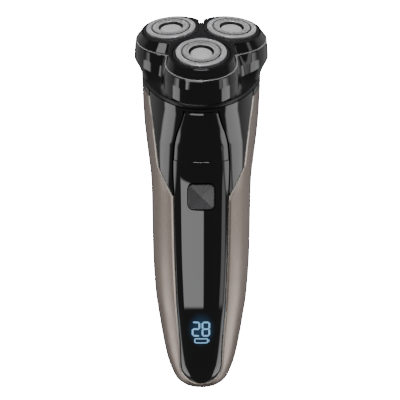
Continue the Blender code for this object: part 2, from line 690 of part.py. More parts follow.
# spindles stand on the line where the tilted cutters' sockets are
HUB_BOTTOM = 5.4
SPINDLE_PLACE = POD_RADIUS - HUB_BOTTOM * sin(POD_TILT)
SPINDLE_TOP = 5.0

head_holder()
hair_chamber()


def ring_group(number, frame):
    """One floating head: ring, guard, cap and cutter, in the frame of its own axis."""
    ring_top, ring_bottom, lip = -0.65, -3.6, 0.6
    bore = GUARD_RADIUS + GAP
    turned(f"floating_ring_{number}", [
        (RING_RADIUS - 0.4, ring_top), (RING_RADIUS, ring_top - 0.4), (RING_RADIUS, ring_bottom),
        (GUARD_RADIUS - 0.9, ring_bottom), (GUARD_RADIUS - 0.9, ring_bottom + lip),
        (bore, ring_bottom + lip), (bore, ring_top),
    ], BLACK_SATIN, frame, steps=30)
    r, w, d, k = GUARD_RADIUS, WINDOW_RADIUS, WINDOW_DEPTH, GUARD_SKIN
    outer = [(0, -d), (w, -d), (w, 0.3), (r - 0.4, 0.3), (r, -0.1), (r, -1.6)]
    inner = [(r - k, -1.6), (r - k, -0.05), (w + k, -0.05), (w + k, -d - k), (0, -d - k)]
    turned(f"guard_{number}", outer + inner, STEEL, frame, steps=30)
    cap = w - 0.6
    turned(f"guard_cap_{number}", [
        (0, -0.15), (cap * 0.6, -0.3), (cap, -0.8), (cap, -d + GAP), (0, -d + GAP),
    ], PALE_STEEL, frame, steps=20)
    blade_out, blade_in = r - 1.9, w + k + 0.6
    base_top, base_bottom = -2.6, -3.4
    made = turned(f"cutter_{number}", [
        (0, base_top), (blade_in, base_top), (blade_in, -0.6), (blade_out, -0.6),
        (blade_out, base_bottom), (HUB_RADIUS, base_bottom), (HUB_RADIUS, -HUB_BOTTOM),
        (SOCKET_RADIUS, -HUB_BOTTOM), (SOCKET_RADIUS, base_bottom), (0, base_bottom),
    ], STEEL, frame, steps=24)
    star = []
    for blade in range(CUTTER_BLADES):
        middle = 2 * pi * blade / CUTTER_BLADES
        half = 0.62 * pi / CUTTER_BLADES
        star.append([(reach * cos(middle + side * half), reach * sin(middle + side * half))
                     for reach, side in ((blade_in - 1.0, -1), (r, -1), (r, 1), (blade_in - 1.0, 1))])
    gaps = plate(f"blade_gap_cutter_{number}", star, base_top + 0.05, 2.0, None, frame,
                 collection=cutters)
    boolean(made, gaps)


for number, frame in enumerate(pod_frames, 1):
    ring_group(number, frame)


def lobe_outline(pod, radius, inset=0.0, count=36):
    turn = np.arange(count) * 2 * pi / count
    reach = lobes(turn, pod, radius) - inset
    return list(zip(reach * np.sin(turn), -reach * np.cos(turn)))


def pod_circles(radius, place_radius=POD_RADIUS, count=24):
    return [circle(radius, count, (place_radius * sin(t), -place_radius * cos(t))) for t in POD_TURNS]


FRAME_TOP = 5.6
frame_plate = plate("retaining_frame",
                    [lobe_outline(POD_RADIUS, POD_WALL_TOP, HEAD_WALL + 2 * GAP)]
                    + pod_circles(GUARD_RADIUS - 1.2),
                    -FRAME_TOP - 1.2, -FRAME_TOP, DARK_PLASTIC, head_frame)
POST_RADIUS = POD_RADIUS - RING_RADIUS - 0.9
post = turned("frame_post_cutter", [(0, -HEAD_WALL - 0.2), (POST_RADIUS, -HEAD_WALL - 0.2),
                                    (POST_RADIUS, -FRAME_TOP - 0.6), (0, -FRAME_TOP - 0.6)],
              None, head_frame, steps=20, collection=cutters)
boolean(frame_plate, post, "UNION")


def gear_outline(teeth, pitch, start):
    """Straight-sided teeth: narrow at the tip so that they clear their partner's gaps."""
    module = 2 * pitch / teeth
    outline = []
    for tooth in range(teeth):
        middle = start + 2 * pi * tooth / teeth
        step = 2 * pi / teeth
        for reach, part in ((pitch - 1.15 * module, -0.30), (pitch + 0.8 * module, -0.10),
                            (pitch + 0.8 * module, 0.10), (pitch - 1.15 * module, 0.30)):
            outline.append((reach * cos(middle + part * step), reach * sin(middle + part * step)))
    return outline


CENTRE_PITCH = SPINDLE_PLACE * CENTRE_TEETH / (CENTRE_TEETH + SATELLITE_TEETH)
SATELLITE_PITCH = SPINDLE_PLACE - CENTRE_PITCH
GEAR_TOP = CHAMBER_FLOOR + FLOOR_THICKNESS + 2 * GAP
GEAR_BOTTOM = GEAR_TOP + GEAR_THICKNESS
COVER_TOP = GEAR_BOTTOM + 2 * GAP
COVER_BOTTOM = COVER_TOP + COVER_THICKNESS

centre_gear = plate("centre_gear", [gear_outline(CENTRE_TEETH, CENTRE_PITCH, -pi / 2)],
                    -GEAR_BOTTOM, -GEAR_TOP, WHITE_PLASTIC, head_frame)
gear_hub = turned("gear_hub_cutter", [(0, -GEAR_BOTTOM + 0.5), (CENTRE_HUB, -GEAR_BOTTOM + 0.5),
                                      (CENTRE_HUB, -CHAMBER_BOTTOM), (0, -CHAMBER_BOTTOM)],
                  None, head_frame, steps=24, collection=cutters)
boolean(centre_gear, gear_hub, "UNION")
DRIVE_DEPTH = GEAR_TOP + 0.8
drive_socket = plate("drive_socket_cutter", [circle(DRIVE_SOCKET, 6)], -CHAMBER_BOTTOM - 2, -DRIVE_DEPTH,
                     None, head_frame, collection=cutters)
boolean(centre_gear, drive_socket)

for number, turn in enumerate(POD_TURNS, 1):
    x, y = SPINDLE_PLACE * sin(turn), -SPINDLE_PLACE * cos(turn)
    inward = atan2(-y, -x)
    half_tooth = pi / SATELLITE_TEETH
    gear = plate(f"satellite_gear_{number}",
                 [gear_outline(SATELLITE_TEETH, SATELLITE_PITCH, inward + half_tooth),
                  circle(SPINDLE_RADIUS + GAP, 16)],
                 -GEAR_BOTTOM, -GEAR_TOP, WHITE_PLASTIC, head_frame, (x, y, 0))
    turned(f"drive_spindle_{number}", [
        (0, -SPINDLE_TOP), (SPINDLE_RADIUS - 0.4, -SPINDLE_TOP), (SPINDLE_RADIUS, -SPINDLE_TOP - 0.5),
        (SPINDLE_RADIUS, -COVER_BOTTOM + 0.3), (0, -COVER_BOTTOM + 0.3),
    ], STEEL, head_frame, (x, y, 0), 16)

cover_hole = pod_circles(SPINDLE_RADIUS + GAP, SPINDLE_PLACE, 16) + [circle(CENTRE_HUB + GAP, 24)]
cover_edges = [COVER_TOP, COVER_BOTTOM, np.clip(bulge_depth(RING_ANGLES), COVER_TOP, COVER_BOTTOM)]
cover_reach = np.min([chamber_inside(depth) for depth in cover_edges], axis=0) - 3 * GAP
cover_outline = [(x, y) for x, y, _ in ring_at(cover_reach, 0)]
plate("gear_cover", [cover_outline] + cover_hole,
      -COVER_BOTTOM, -COVER_TOP, DARK_PLASTIC, head_frame)

# ---- neck and drive -----------------------------------------------------------------------
SCREW_PLACE = 14.0
SCREW_SHANK = 1.0
SCREW_HEAD = 1.9
CAP_BOTTOM = NECK_SEAM + NECK_CAP_THICKNESS
SPIGOT_TOP = COVER_BOTTOM + GAP
SEAL_TOP = NECK_SEAM - GAP - SEAL_DEEP
SPIGOT_RADIUS = float(min(chamber_inside(SPIGOT_TOP).min(),
                          chamber_inside(SEAL_TOP).min() - GAP - SEAL_WIDE)) - SPIGOT_ROOM


def neck_cap():
    """The handle's lid: a plate that follows the neck's outline, with a low spigot for the seal."""
    made = plate("neck_cap", [lobe_outline(NECK_POD, NECK_LOBE), circle(CENTRE_HUB + GAP, 24),
                              circle(SCREW_SHANK + GAP, 12, (SCREW_PLACE, 0)),
                              circle(SCREW_SHANK + GAP, 12, (-SCREW_PLACE, 0))],
                 -CAP_BOTTOM, -NECK_SEAM, BLACK_SATIN, head_frame)
    spigot = turned("spigot_cutter", [
        (SPIGOT_RADIUS, -SPIGOT_TOP), (SPIGOT_RADIUS, -NECK_SEAM - 0.5),
        (SPIGOT_RADIUS - 1.6, -NECK_SEAM - 0.5), (SPIGOT_RADIUS - 1.6, -SPIGOT_TOP),
    ], None, head_frame, steps=32, collection=cutters)
    boolean(made, spigot, "UNION")


neck_cap()
turned("head_seal", [
    (SPIGOT_RADIUS + GAP + SEAL_WIDE, -SEAL_TOP), (SPIGOT_RADIUS + GAP + SEAL_WIDE, -NECK_SEAM + GAP),
    (SPIGOT_RADIUS + GAP, -NECK_SEAM + GAP), (SPIGOT_RADIUS + GAP, -SEAL_TOP),
], RUBBER, head_frame, steps=32)

BRACKET_TOP = CAP_BOTTOM + GAP
BRACKET_BOTTOM = BRACKET_TOP + 1.2
MOTOR_TOP = BRACKET_BOTTOM + GAP
MOTOR_SCREW_PLACE = 5.0
plate("motor_bracket", [circle(SCREW_PLACE + 2.6, 28), circle(CENTRE_HUB, 24)]
      + [circle(SCREW_SHANK + GAP, 12, (side * place_x, 0))
         for side in (1, -1) for place_x in (SCREW_PLACE, MOTOR_SCREW_PLACE + 2.4)],
      -BRACKET_BOTTOM, -BRACKET_TOP, STEEL, head_frame)
motor = turned("motor_can", [
    (0, -MOTOR_TOP), (MOTOR_RADIUS - 0.6, -MOTOR_TOP), (MOTOR_RADIUS, -MOTOR_TOP - 0.6),
    (MOTOR_RADIUS, -MOTOR_TOP - MOTOR_LENGTH), (0, -MOTOR_TOP - MOTOR_LENGTH),
], STEEL, head_frame, steps=32)
shaft_bore = turned("shaft_bore_cutter", [
    (0, 0), (SHAFT_RADIUS + GAP, 0), (SHAFT_RADIUS + GAP, -MOTOR_TOP - 14), (0, -MOTOR_TOP - 14),
], None, head_frame, steps=16, collection=cutters)
boolean(motor, shaft_bore)
for number, side in enumerate((1, -1), 1):
    bore = turned(f"motor_screw_bore_cutter_{number}", [
        (0, 1), (SCREW_SHANK + GAP, 1), (SCREW_SHANK + GAP, -4), (0, -4),
    ], None, head_frame, (side * (MOTOR_SCREW_PLACE + 2.4), 0, -MOTOR_TOP), 12, cutters)
    boolean(motor, bore)
    turned(f"motor_screw_{number}", [
        (0, 0), (SCREW_SHANK, 0), (SCREW_SHANK, -3.6), (0, -3.6),
    ], STEEL, head_frame, (side * (MOTOR_SCREW_PLACE + 2.4), 0, -BRACKET_TOP), 12)
    turned(f"neck_screw_{number}", [
        (0, SCREW_HEAD * 0.6), (SCREW_HEAD, SCREW_HEAD * 0.6), (SCREW_HEAD, 0), (SCREW_SHANK, 0),
        (SCREW_SHANK, -6.0), (0, -6.0),
    ], STEEL, head_frame, (side * SCREW_PLACE, 0, -NECK_SEAM + GAP), 16)

turned("motor_shaft", [
    (0, -CAP_BOTTOM + 0.6), (SHAFT_RADIUS, -CAP_BOTTOM + 0.6), (SHAFT_RADIUS, -MOTOR_TOP - 13.4),
    (0, -MOTOR_TOP - 13.4),
], STEEL, head_frame, steps=16)
coupling = plate("drive_coupling", [circle(DRIVE_RADIUS, 6)], -CAP_BOTTOM + 0.2, -DRIVE_DEPTH - GAP,
                 BRASS, head_frame)
coupling_bore = turned("coupling_bore_cutter", [
    (0, 0), (SHAFT_RADIUS + GAP, 0), (SHAFT_RADIUS + GAP, -3), (0, -3),
], None, head_frame, (0, 0, -CAP_BOTTOM + 1.2), 12, cutters)
boolean(coupling, coupling_bore)
turned("shaft_seal", [
    (CENTRE_HUB, -NECK_SEAM - 0.6), (CENTRE_HUB, -CAP_BOTTOM + 0.5),
    (DRIVE_RADIUS + GAP, -CAP_BOTTOM + 0.5), (DRIVE_RADIUS + GAP, -NECK_SEAM - 0.6),
], RUBBER, head_frame, steps=24)

# ---- inside the handle --------------------------------------------------------------------
BOARD_BACK = BOARD_FACE - BOARD_THICKNESS
FRAME_FRONT = BOARD_BACK - GAP
FRAME_BACK = FRAME_FRONT - FRAME_THICKNESS
SHELF_LOW = BATTERY_LOW - 1.0
FRAME_HIGH = BOARD_HIGH + 4.0
PCB_SCREWS = (50.0, 80.0)

chassis = block("inner_frame", (-11, -FRAME_FRONT, SHELF_LOW - FRAME_THICKNESS),
                (11, -FRAME_BACK, FRAME_HIGH), DARK_PLASTIC)
for name, low in (("shelf_low_cutter", SHELF_LOW - FRAME_THICKNESS),
                  ("shelf_high_cutter", FRAME_HIGH - FRAME_THICKNESS)):
    shelf = block(name, (-9.5, -FRAME_FRONT + 0.4, low), (9.5, 9.0, low + FRAME_THICKNESS), None,
                  collection=cutters)
    boolean(chassis, shelf, "UNION")
board = block("circuit_board", (-BOARD_HALF_WIDTH, -BOARD_FACE, BOARD_LOW),
              (BOARD_HALF_WIDTH, -BOARD_BACK, BOARD_HIGH), BOARD_GREEN)
for number, height in enumerate(PCB_SCREWS, 1):
    half = SCREW_SHANK + GAP
    bore = block(f"board_bore_cutter_{number}", (-half, -BOARD_FACE - 2, height - half),
                 (half, -FRAME_BACK + 2, height + half), None, collection=cutters,
                 round_by=0.8, along=1)
    boolean(board, bore)
    boolean(chassis, bore)
    screw = turned(f"board_screw_{number}", [
        (0, SCREW_HEAD * 0.6), (SCREW_HEAD, SCREW_HEAD * 0.6), (SCREW_HEAD, 0), (SCREW_SHANK, 0),
        (SCREW_SHANK, -2.8), (0, -2.8),
    ], STEEL, None, (0, -BOARD_FACE - GAP, height), 16)
    screw.rotation_euler = (pi / 2, 0, 0)
block("tact_switch", (-2.6, -BOARD_FACE - GAP - 1.4, BUTTON_HEIGHT - 2.6),
      (2.6, -BOARD_FACE - GAP, BUTTON_HEIGHT + 2.6), STEEL)
seal_front = -BOARD_FACE - 1.7 - 2.4
turned_seal = turned("button_seal", [
    (4.4, 0.6), (4.4, -0.6), (3.5, -0.6), (3.5, 0.6),
], RUBBER, None, (0, seal_front, BUTTON_HEIGHT), 20)
turned_seal.rotation_euler = (pi / 2, 0, 0)
block("display_module", (-DISPLAY_HALF_WIDTH, -BOARD_FACE - GAP - 1.6, DISPLAY_LOW),
      (DISPLAY_HALF_WIDTH, -BOARD_FACE - GAP, DISPLAY_HIGH), GLOW)
turned("battery_cell", [
    (0, BATTERY_LENGTH), (2.6, BATTERY_LENGTH), (2.6, BATTERY_LENGTH - 1.2),
    (BATTERY_RADIUS - 0.5, BATTERY_LENGTH - 1.2), (BATTERY_RADIUS, BATTERY_LENGTH - 1.8),
    (BATTERY_RADIUS, 0), (0, 0),
], CELL_BLUE, None, (0, BATTERY_BACK, BATTERY_LOW), 28)
for name, low in (("battery_tab_low", BATTERY_LOW - 0.7),
                  ("battery_tab_high", BATTERY_LOW + BATTERY_LENGTH + GAP)):
    block(name, (-3, BATTERY_BACK - 3, low), (3, BATTERY_BACK + 3, low + 0.4), BRASS)
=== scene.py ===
from math import atan2, cos, pi, radians, sin, tan

import bmesh
import bpy
import numpy as np
from mathutils import Matrix, Vector


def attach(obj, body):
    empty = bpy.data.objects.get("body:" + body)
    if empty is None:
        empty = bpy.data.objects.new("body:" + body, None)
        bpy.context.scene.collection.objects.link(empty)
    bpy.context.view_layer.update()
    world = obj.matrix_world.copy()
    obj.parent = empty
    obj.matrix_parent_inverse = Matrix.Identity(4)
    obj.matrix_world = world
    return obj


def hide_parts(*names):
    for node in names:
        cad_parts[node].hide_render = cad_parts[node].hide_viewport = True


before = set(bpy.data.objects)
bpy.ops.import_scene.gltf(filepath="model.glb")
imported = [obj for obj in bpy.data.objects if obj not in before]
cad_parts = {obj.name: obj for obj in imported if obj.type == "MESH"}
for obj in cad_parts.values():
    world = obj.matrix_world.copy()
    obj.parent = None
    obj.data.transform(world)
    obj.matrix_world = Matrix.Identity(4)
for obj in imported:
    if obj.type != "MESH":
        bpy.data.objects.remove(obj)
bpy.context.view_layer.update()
print("frame loaded:", len(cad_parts), "nodes")

mm = 0.001

# what the shaver's handle is drawn from: sizes in millimetres, x to the right, -y to the front
handle = dict(
    straight=121.5,        # height of the straight part
    bendRadius=68.7,
    tilt=radians(19.0),    # lean of the head
    rise=25.0,             # end of the bend to the plane of the guards
    lobeBlend=0.80,        # share of the straight height where the neck's lobes begin
    neckPod=8.0, neckLobe=18.9,
    neckFull=21.3,         # depth under the guards where the lobes are complete
    neckSeam=18.9, capThickness=2.0,
    casingTopDepth=24.6, shellTopDepth=21.2,
    # share of the straight height, half width, front depth, back depth
    stations=np.array([
        (0.000, 9.2, 8.6, 8.6), (0.018, 11.8, 10.8, 10.8), (0.045, 13.6, 12.3, 12.3),
        (0.105, 16.1, 14.2, 14.2), (0.172, 17.8, 15.6, 15.6), (0.260, 19.5, 17.0, 17.0),
        (0.385, 21.5, 18.6, 18.4), (0.550, 22.5, 19.6, 19.2), (0.800, 22.8, 20.2, 19.8),
        (0.950, 23.8, 21.4, 21.0), (1.120, 25.4, 24.0, 22.6), (1.250, 25.8, 26.4, 23.6)]),
)
panel = dict(
    # share of the straight height, half width
    stations=np.array([
        (0.10, 9.4), (0.20, 9.7), (0.38, 11.0), (0.60, 11.9), (0.80, 12.2),
        (0.90, 12.5), (0.97, 12.1), (1.06, 10.6), (1.12, 9.0), (1.22, 7.0)]),
    bottom=3.9, top=146.3, roundEnd=9.4, endGap=0.65, sideGap=0.42,
    thickness=1.5,
    crown=0.45,            # how far the middle stands proud
    facet=3.4,             # width of the sloping facet along each side
    facetDrop=0.62,
    edgeRoll=0.28,
    stepHeight=113.6,      # the part above this line lies a little deeper
    stepDrop=0.26, stepLength=0.22,
)
casing = dict(
    wall=1.8, shoulderLow=96.0, shoulderHigh=109.0, edgeLow=19.4, edgeHigh=22.9,
    roll=0.62,             # radius of the rolled edge round the opening
    foot=2.4, topBand=0.8,
    shellBottom=85.0, recess=1.8,
)
# the charging socket's opening in the back
port = dict(height=17.5, halfWide=4.8, halfTall=2.0, corner=1.4, flare=0.35, inside=6.0, outside=3.0)
head = dict(
    pod=15.4,              # head axis to the axis of each guard
    podTilt=radians(4.3),
    rimScale=0.928, wallTop=15.0, wallMid=16.1, wallMax=16.4, face=0.7,
    holderBottom=5.0, mid=10.0, edge=15.5, bulge=16.2, bulgeSide=13.8, bottom=18.6, sharpness=5.0,
    opening=12.4, openingRoll=0.30,
)
notch = dict(halfWide=1.0, halfTall=2.6, corner=0.45, height=0.4, inside=3.2, outside=3.0)
# the hair chamber: its floor's and ceiling's depths are under the plane of the guards
chamber = dict(wall=1.6, roll=0.22, seam=0.3, floor=10.5, floorRing=6.0, ceiling=12.0)
neckCap = dict(hole=3.9, spigot=20.5, spigotTop=17.5, spigotEdge=0.3, rim=18.9,
               edge=0.25, edgeIn=0.06, edgeDown=0.08)
turns = [0.0, 2 * pi / 3, 4 * pi / 3]


def smoothStep(x):
    x = np.clip(x, 0.0, 1.0)
    return x * x * (3 - 2 * x)


# monotone cubic through a table: tangents are the harmonic mean of the slopes on either side
def through(table, column, share):
    x, y = table[:, 0], table[:, column]
    slope = np.diff(y) / np.diff(x)
    tangent = np.zeros_like(y)
    tangent[1:-1] = np.where(slope[1:] * slope[:-1] > 0,
                             2 * slope[1:] * slope[:-1] / (slope[1:] + slope[:-1] + 1e-12), 0.0)
    tangent[0], tangent[-1] = slope[0], slope[-1]
    share = np.clip(share, x[0], x[-1])
    i = np.clip(np.searchsorted(x, share) - 1, 0, len(x) - 2)
    step = x[i + 1] - x[i]
    t = (share - x[i]) / step
    return ((2 * t**3 - 3 * t**2 + 1) * y[i] + (t**3 - 2 * t**2 + t) * step * tangent[i]
            + (3 * t**2 - 2 * t**3) * y[i + 1] + (t**3 - t**2) * step * tangent[i + 1])


# polar radius of three merged circles: the far edge of each circle, joined by a power mean
def lobes(angle, pod, radius, sharpness=head["sharpness"]):
    total = 0.0
    for turn in turns:
        swing = angle - turn
        reach = pod * np.cos(swing) + np.sqrt(np.maximum(radius**2 - (pod * np.sin(swing))**2, 0.0))
        total = total + np.maximum(reach, 0.0)**sharpness
    return total**(1 / sharpness)


# the handle's axis: straight up, then along an arc, then straight again, leaning to the front
def axisPoint(s):
    lean = np.clip((s - handle["straight"]) / handle["bendRadius"], 0.0, handle["tilt"])
    over = np.maximum(s - handle["straight"] - handle["bendRadius"] * handle["tilt"], 0.0)
    y = -handle["bendRadius"] * (1 - np.cos(lean)) - over * sin(handle["tilt"])
    z = np.minimum(s, handle["straight"]) + handle["bendRadius"] * np.sin(lean) \
        + over * cos(handle["tilt"])
    return y, z, lean


axisLength = handle["straight"] + handle["bendRadius"] * handle["tilt"] + handle["rise"]
casingTop = axisLength - handle["casingTopDepth"]
shellTop = axisLength - handle["shellTopDepth"]


# the handle's skin: an ellipse square to the axis whose half axes follow the stations, mixed into
# the three-lobed neck near the top; angle 0 is the front
def handleSkin(angle, s):
    share = s / handle["straight"]
    half = through(handle["stations"], 1, share)
    depth = np.where(np.cos(angle) > 0, through(handle["stations"], 2, share),
                     through(handle["stations"], 3, share))
    neckShare = (axisLength - handle["neckFull"]) / handle["straight"]
    blend = smoothStep((share - handle["lobeBlend"]) / (neckShare - handle["lobeBlend"]))
    neck = lobes(angle, handle["neckPod"], handle["neckLobe"])
    across = ((1 - blend) * half + blend * neck) * np.sin(angle)
    front = ((1 - blend) * depth + blend * neck) * np.cos(angle)
    y, z, lean = axisPoint(s)
    return np.stack([across, y - front * np.cos(lean), z - front * np.sin(lean)], axis=-1)


# outward unit normals of the skin, from small steps round it and along it
def skinNormals(angle, s):
    small = 1e-3
    around = handleSkin(angle + small, s) - handleSkin(angle - small, s)
    along = handleSkin(angle, s + small) - handleSkin(angle, np.maximum(s - small, 0.0))
    normal = np.cross(around, along)
    return normal / np.linalg.norm(normal, axis=-1, keepdims=True)


# the angle at which the skin lies a given distance from the middle plane, by halving
def angleAt(halfWidth, s):
    low, high = np.zeros_like(s), np.full_like(s, pi / 2)
    for _ in range(30):
        middle = (low + high) / 2
        inside = handleSkin(middle, s)[..., 0] < halfWidth
        low, high = np.where(inside, middle, low), np.where(inside, high, middle)
    return (low + high) / 2


# half width of the front panel: its stations, closed by a round lower end
def panelHalf(s):
    half = through(panel["stations"], 1, s / handle["straight"])
    below = np.clip((panel["bottom"] + panel["roundEnd"] - s) / panel["roundEnd"], 0.0, 1.0)
    return half * np.sqrt(np.maximum(1 - below**2, 0.0))


# half width of the opening between the casing's edges: beside the panel, then out to the strips
def casingHalf(s):
    beside = panelHalf(s + panel["endGap"]) + panel["sideGap"]
    along = np.clip((s - casing["shoulderHigh"]) / (casingTop - casing["shoulderHigh"]), 0.0, 1.0)
    strip = casing["edgeLow"] + (casing["edgeHigh"] - casing["edgeLow"]) * along
    shoulder = np.clip((s - casing["shoulderLow"])
                       / (casing["shoulderHigh"] - casing["shoulderLow"]), 0.0, 1.0)
    return beside + (strip - beside) * shoulder


# how deep an edge roll of one radius has turned in, at a distance from the edge: a quarter circle
def rollDepth(distance, radius):
    left = np.clip(radius - distance, 0.0, radius)
    return radius - np.sqrt(np.maximum(radius**2 - left**2, 0.0))


# shortest distance from points to a drawn line, both as flat pairs
def distanceTo(points, line):
    a, b = line[:-1], line[1:]
    along = b - a
    length = np.maximum((along**2).sum(-1), 1e-12)
    best = np.full(len(points), np.inf)
    for i in range(len(a)):
        t = np.clip(((points - a[i]) @ along[i]) / length[i], 0, 1)
        best = np.minimum(best, np.linalg.norm(points - a[i] - t[:, None] * along[i], axis=1))
    return best


# one mesh from several grids of points in millimetres: quads between neighbouring rows and
# columns, points merged where grids meet, faces turned outwards
def skinMesh(name, grids, place=None, crease=32, outwards=True):
    points, faces, finishes, start = [], [], [], 0
    for grid in grids:
        rows, columns = grid["points"].shape[:2]
        index = start + np.arange(rows * columns).reshape(rows, columns)
        if grid.get("around"):
            index = np.concatenate([index, index[:, :1]], axis=1)
        if grid.get("loop"):
            index = np.concatenate([index, index[:1]], axis=0)
        quads = np.stack([index[:-1, :-1], index[:-1, 1:], index[1:, 1:], index[1:, :-1]], axis=-1)
        finish = np.broadcast_to(grid.get("finish", 0), quads.shape[:2])
        keep = grid.get("keep", np.ones(quads.shape[:2], bool))
        faces.append(quads[keep])
        finishes.append(finish[keep])
        points.append(grid["points"].reshape(-1, 3))
        start += rows * columns
    mesh = bpy.data.meshes.new(name)
    mesh.from_pydata((np.concatenate(points) * mm).tolist(), [], np.concatenate(faces).tolist())
    mesh.polygons.foreach_set("material_index", np.concatenate(finishes).astype(np.int32))
    shape = bmesh.new()
    shape.from_mesh(mesh)
    bmesh.ops.remove_doubles(shape, verts=shape.verts, dist=2e-6)
    bmesh.ops.dissolve_degenerate(shape, edges=shape.edges, dist=1e-7)
    if outwards:
        bmesh.ops.recalc_face_normals(shape, faces=shape.faces)
    if place is not None:
        shape.transform(place)
    shape.to_mesh(mesh)
    shape.free()
    soften(mesh, crease)
    piece = bpy.data.objects.new(name, mesh)
    bpy.context.scene.collection.objects.link(piece)
    return piece


def soften(mesh, crease):
    mesh.shade_smooth()
    mesh.set_sharp_from_angle(angle=radians(crease))


# cut one piece with another and keep the result as the piece's own mesh
def cutAway(piece, cutter, crease=32):
    step = piece.modifiers.new("cut", "BOOLEAN")
    step.operation = "DIFFERENCE"
    step.solver = "EXACT"
    step.object = cutter
    graph = bpy.context.evaluated_depsgraph_get()
    mesh = bpy.data.meshes.new_from_object(piece.evaluated_get(graph))
    piece.modifiers.clear()
    piece.data = mesh
    bpy.data.objects.remove(cutter, do_unlink=True)
    soften(mesh, crease)


# a profile with its inner corners rounded: each corner becomes a parabola between its two legs
def rounded(corners, radius, steps=6):
    corners = np.array(corners, float)
    radius = np.broadcast_to(radius, len(corners))
    t = np.linspace(0, 1, steps)[:, None]
    out = [corners[:1]]
    for before, at, after, r in zip(corners[:-2], corners[1:-1], corners[2:], radius[1:-1]):
        back, on = before - at, after - at
        cut = min(r, np.linalg.norm(back) * 0.49, np.linalg.norm(on) * 0.49)
        a = at + back / np.linalg.norm(back) * cut
        b = at + on / np.linalg.norm(on) * cut
        out.append((1 - t)**2 * a + 2 * t * (1 - t) * at + t**2 * b)
    out.append(corners[-1:])
    return np.concatenate(out)


# a profile of radius and height carried round its axis
def turnedGrid(profile, columns=96, **more):
    angle = np.arange(columns) * 2 * pi / columns
    profile = np.asarray(profile, float)
    r, z = profile[:, :1], profile[:, 1:]
    points = np.stack([r * np.sin(angle), -r * np.cos(angle), z + 0 * angle], axis=-1)
    return dict(points=points, around=True, **more)


# outline of a rounded rectangle: points spread evenly along four straight sides, from corner to
# corner, and those near a corner drawn in to its circle
def roundedSquare(halfX, halfZ, corner, perSide=12):
    share = np.linspace(0, 1, perSide, endpoint=False)
    straight = np.stack([np.ones_like(share), 2 * share - 1], axis=-1)
    sides = []
    for turn in range(4):
        c, s = cos(turn * pi / 2), sin(turn * pi / 2)
        sides.append(straight @ np.array([(c, s), (-s, c)]))
    unit = np.concatenate(sides)
    flat = unit * np.array([halfX, halfZ])
    inner = np.sign(flat) * np.maximum(np.abs(flat) - np.array([halfX, halfZ]) + corner, 0.0)
    size = np.linalg.norm(inner, axis=1, keepdims=True)
    atCorner = (np.abs(inner) > 0).all(axis=1, keepdims=True)
    squeeze = np.where(atCorner, corner / np.maximum(size, 1e-9), 1.0)
    return flat - inner + inner * np.minimum(squeeze, 1.0)


# a closed solid for cutting: one outline carried along y, each row a scale and a y from the centre
def cutterAlong(name, outline, centre, rows, place=None):
    y, z = centre
    points = [np.stack([outline[:, 0] * scale, np.full(len(outline), y + away),
                        outline[:, 1] * scale + z], axis=-1) for scale, away in rows]
    return skinMesh(name, [dict(points=np.stack(points), around=True)], place)


# all sides of a curved plate between its outer and its inner grid
def plate(outer, inner):
    return [dict(points=outer), dict(points=inner[:, ::-1]),
            dict(points=np.stack([outer[:, 0], inner[:, 0]], axis=1)),
            dict(points=np.stack([inner[:, -1], outer[:, -1]], axis=1)),
            dict(points=np.stack([outer[-1], inner[-1]])),
            dict(points=np.stack([inner[0], outer[0]]))]


def nodeGroup(name, inputs, outputs):
    group = bpy.data.node_groups.new(name, "ShaderNodeTree")
    for socket, kind, value in inputs:
        made = group.interface.new_socket(socket, in_out="INPUT", socket_type=kind)
        if value is not None:
            made.default_value = value
    for socket, kind in outputs:
        group.interface.new_socket(socket, in_out="OUTPUT", socket_type=kind)
    return group, group.nodes.new("NodeGroupInput"), group.nodes.new("NodeGroupOutput")


def mathNode(tree, operation, a, b=None, clamp=False):
    node = tree.nodes.new("ShaderNodeMath")
    node.operation = operation
    node.use_clamp = clamp
    for socket, value in zip(node.inputs, (a, b)):
        if value is None:
            continue
        if isinstance(value, (int, float)):
            socket.default_value = value
        else:
            tree.links.new(value, socket)
    return node.outputs[0]


def mapRange(tree, value, low, high, toLow=0.0, toHigh=1.0, kind="SMOOTHSTEP"):
    node = tree.nodes.new("ShaderNodeMapRange")
    node.interpolation_type = kind
    tree.links.new(value, node.inputs["Value"])
    for socket, number in (("From Min", low), ("From Max", high), ("To Min", toLow), ("To Max", toHigh)):
        if isinstance(number, (int, float)):
            node.inputs[socket].default_value = number
        else:
            tree.links.new(number, node.inputs[socket])
    return node.outputs["Result"]


def noiseNode(tree, vector, scale, detail=3.0, roughness=0.5):
    node = tree.nodes.new("ShaderNodeTexNoise")
    tree.links.new(vector, node.inputs["Vector"])
    if isinstance(scale, (int, float)):
        node.inputs["Scale"].default_value = scale
    else:
        tree.links.new(scale, node.inputs["Scale"])
    node.inputs["Detail"].default_value = detail
    node.inputs["Roughness"].default_value = roughness
    return node.outputs["Fac"]


# fine moulded or blasted grain: a noise height and the same noise about zero
def buildGrain():
    group, inside, outside = nodeGroup(
        "moulded grain",
        [("Vector", "NodeSocketVector", None), ("Scale", "NodeSocketFloat", 3000.0),
         ("Depth", "NodeSocketFloat", 1.0)],
        [("Height", "NodeSocketFloat"), ("Shift", "NodeSocketFloat")])
    noise = noiseNode(group, inside.outputs["Vector"], inside.outputs["Scale"], 4.0, 0.6)
    height = mathNode(group, "MULTIPLY", noise, inside.outputs["Depth"])
    shift = mathNode(group, "SUBTRACT", noise, 0.5)
    group.links.new(height, outside.inputs["Height"])
    group.links.new(shift, outside.inputs["Shift"])
    return group


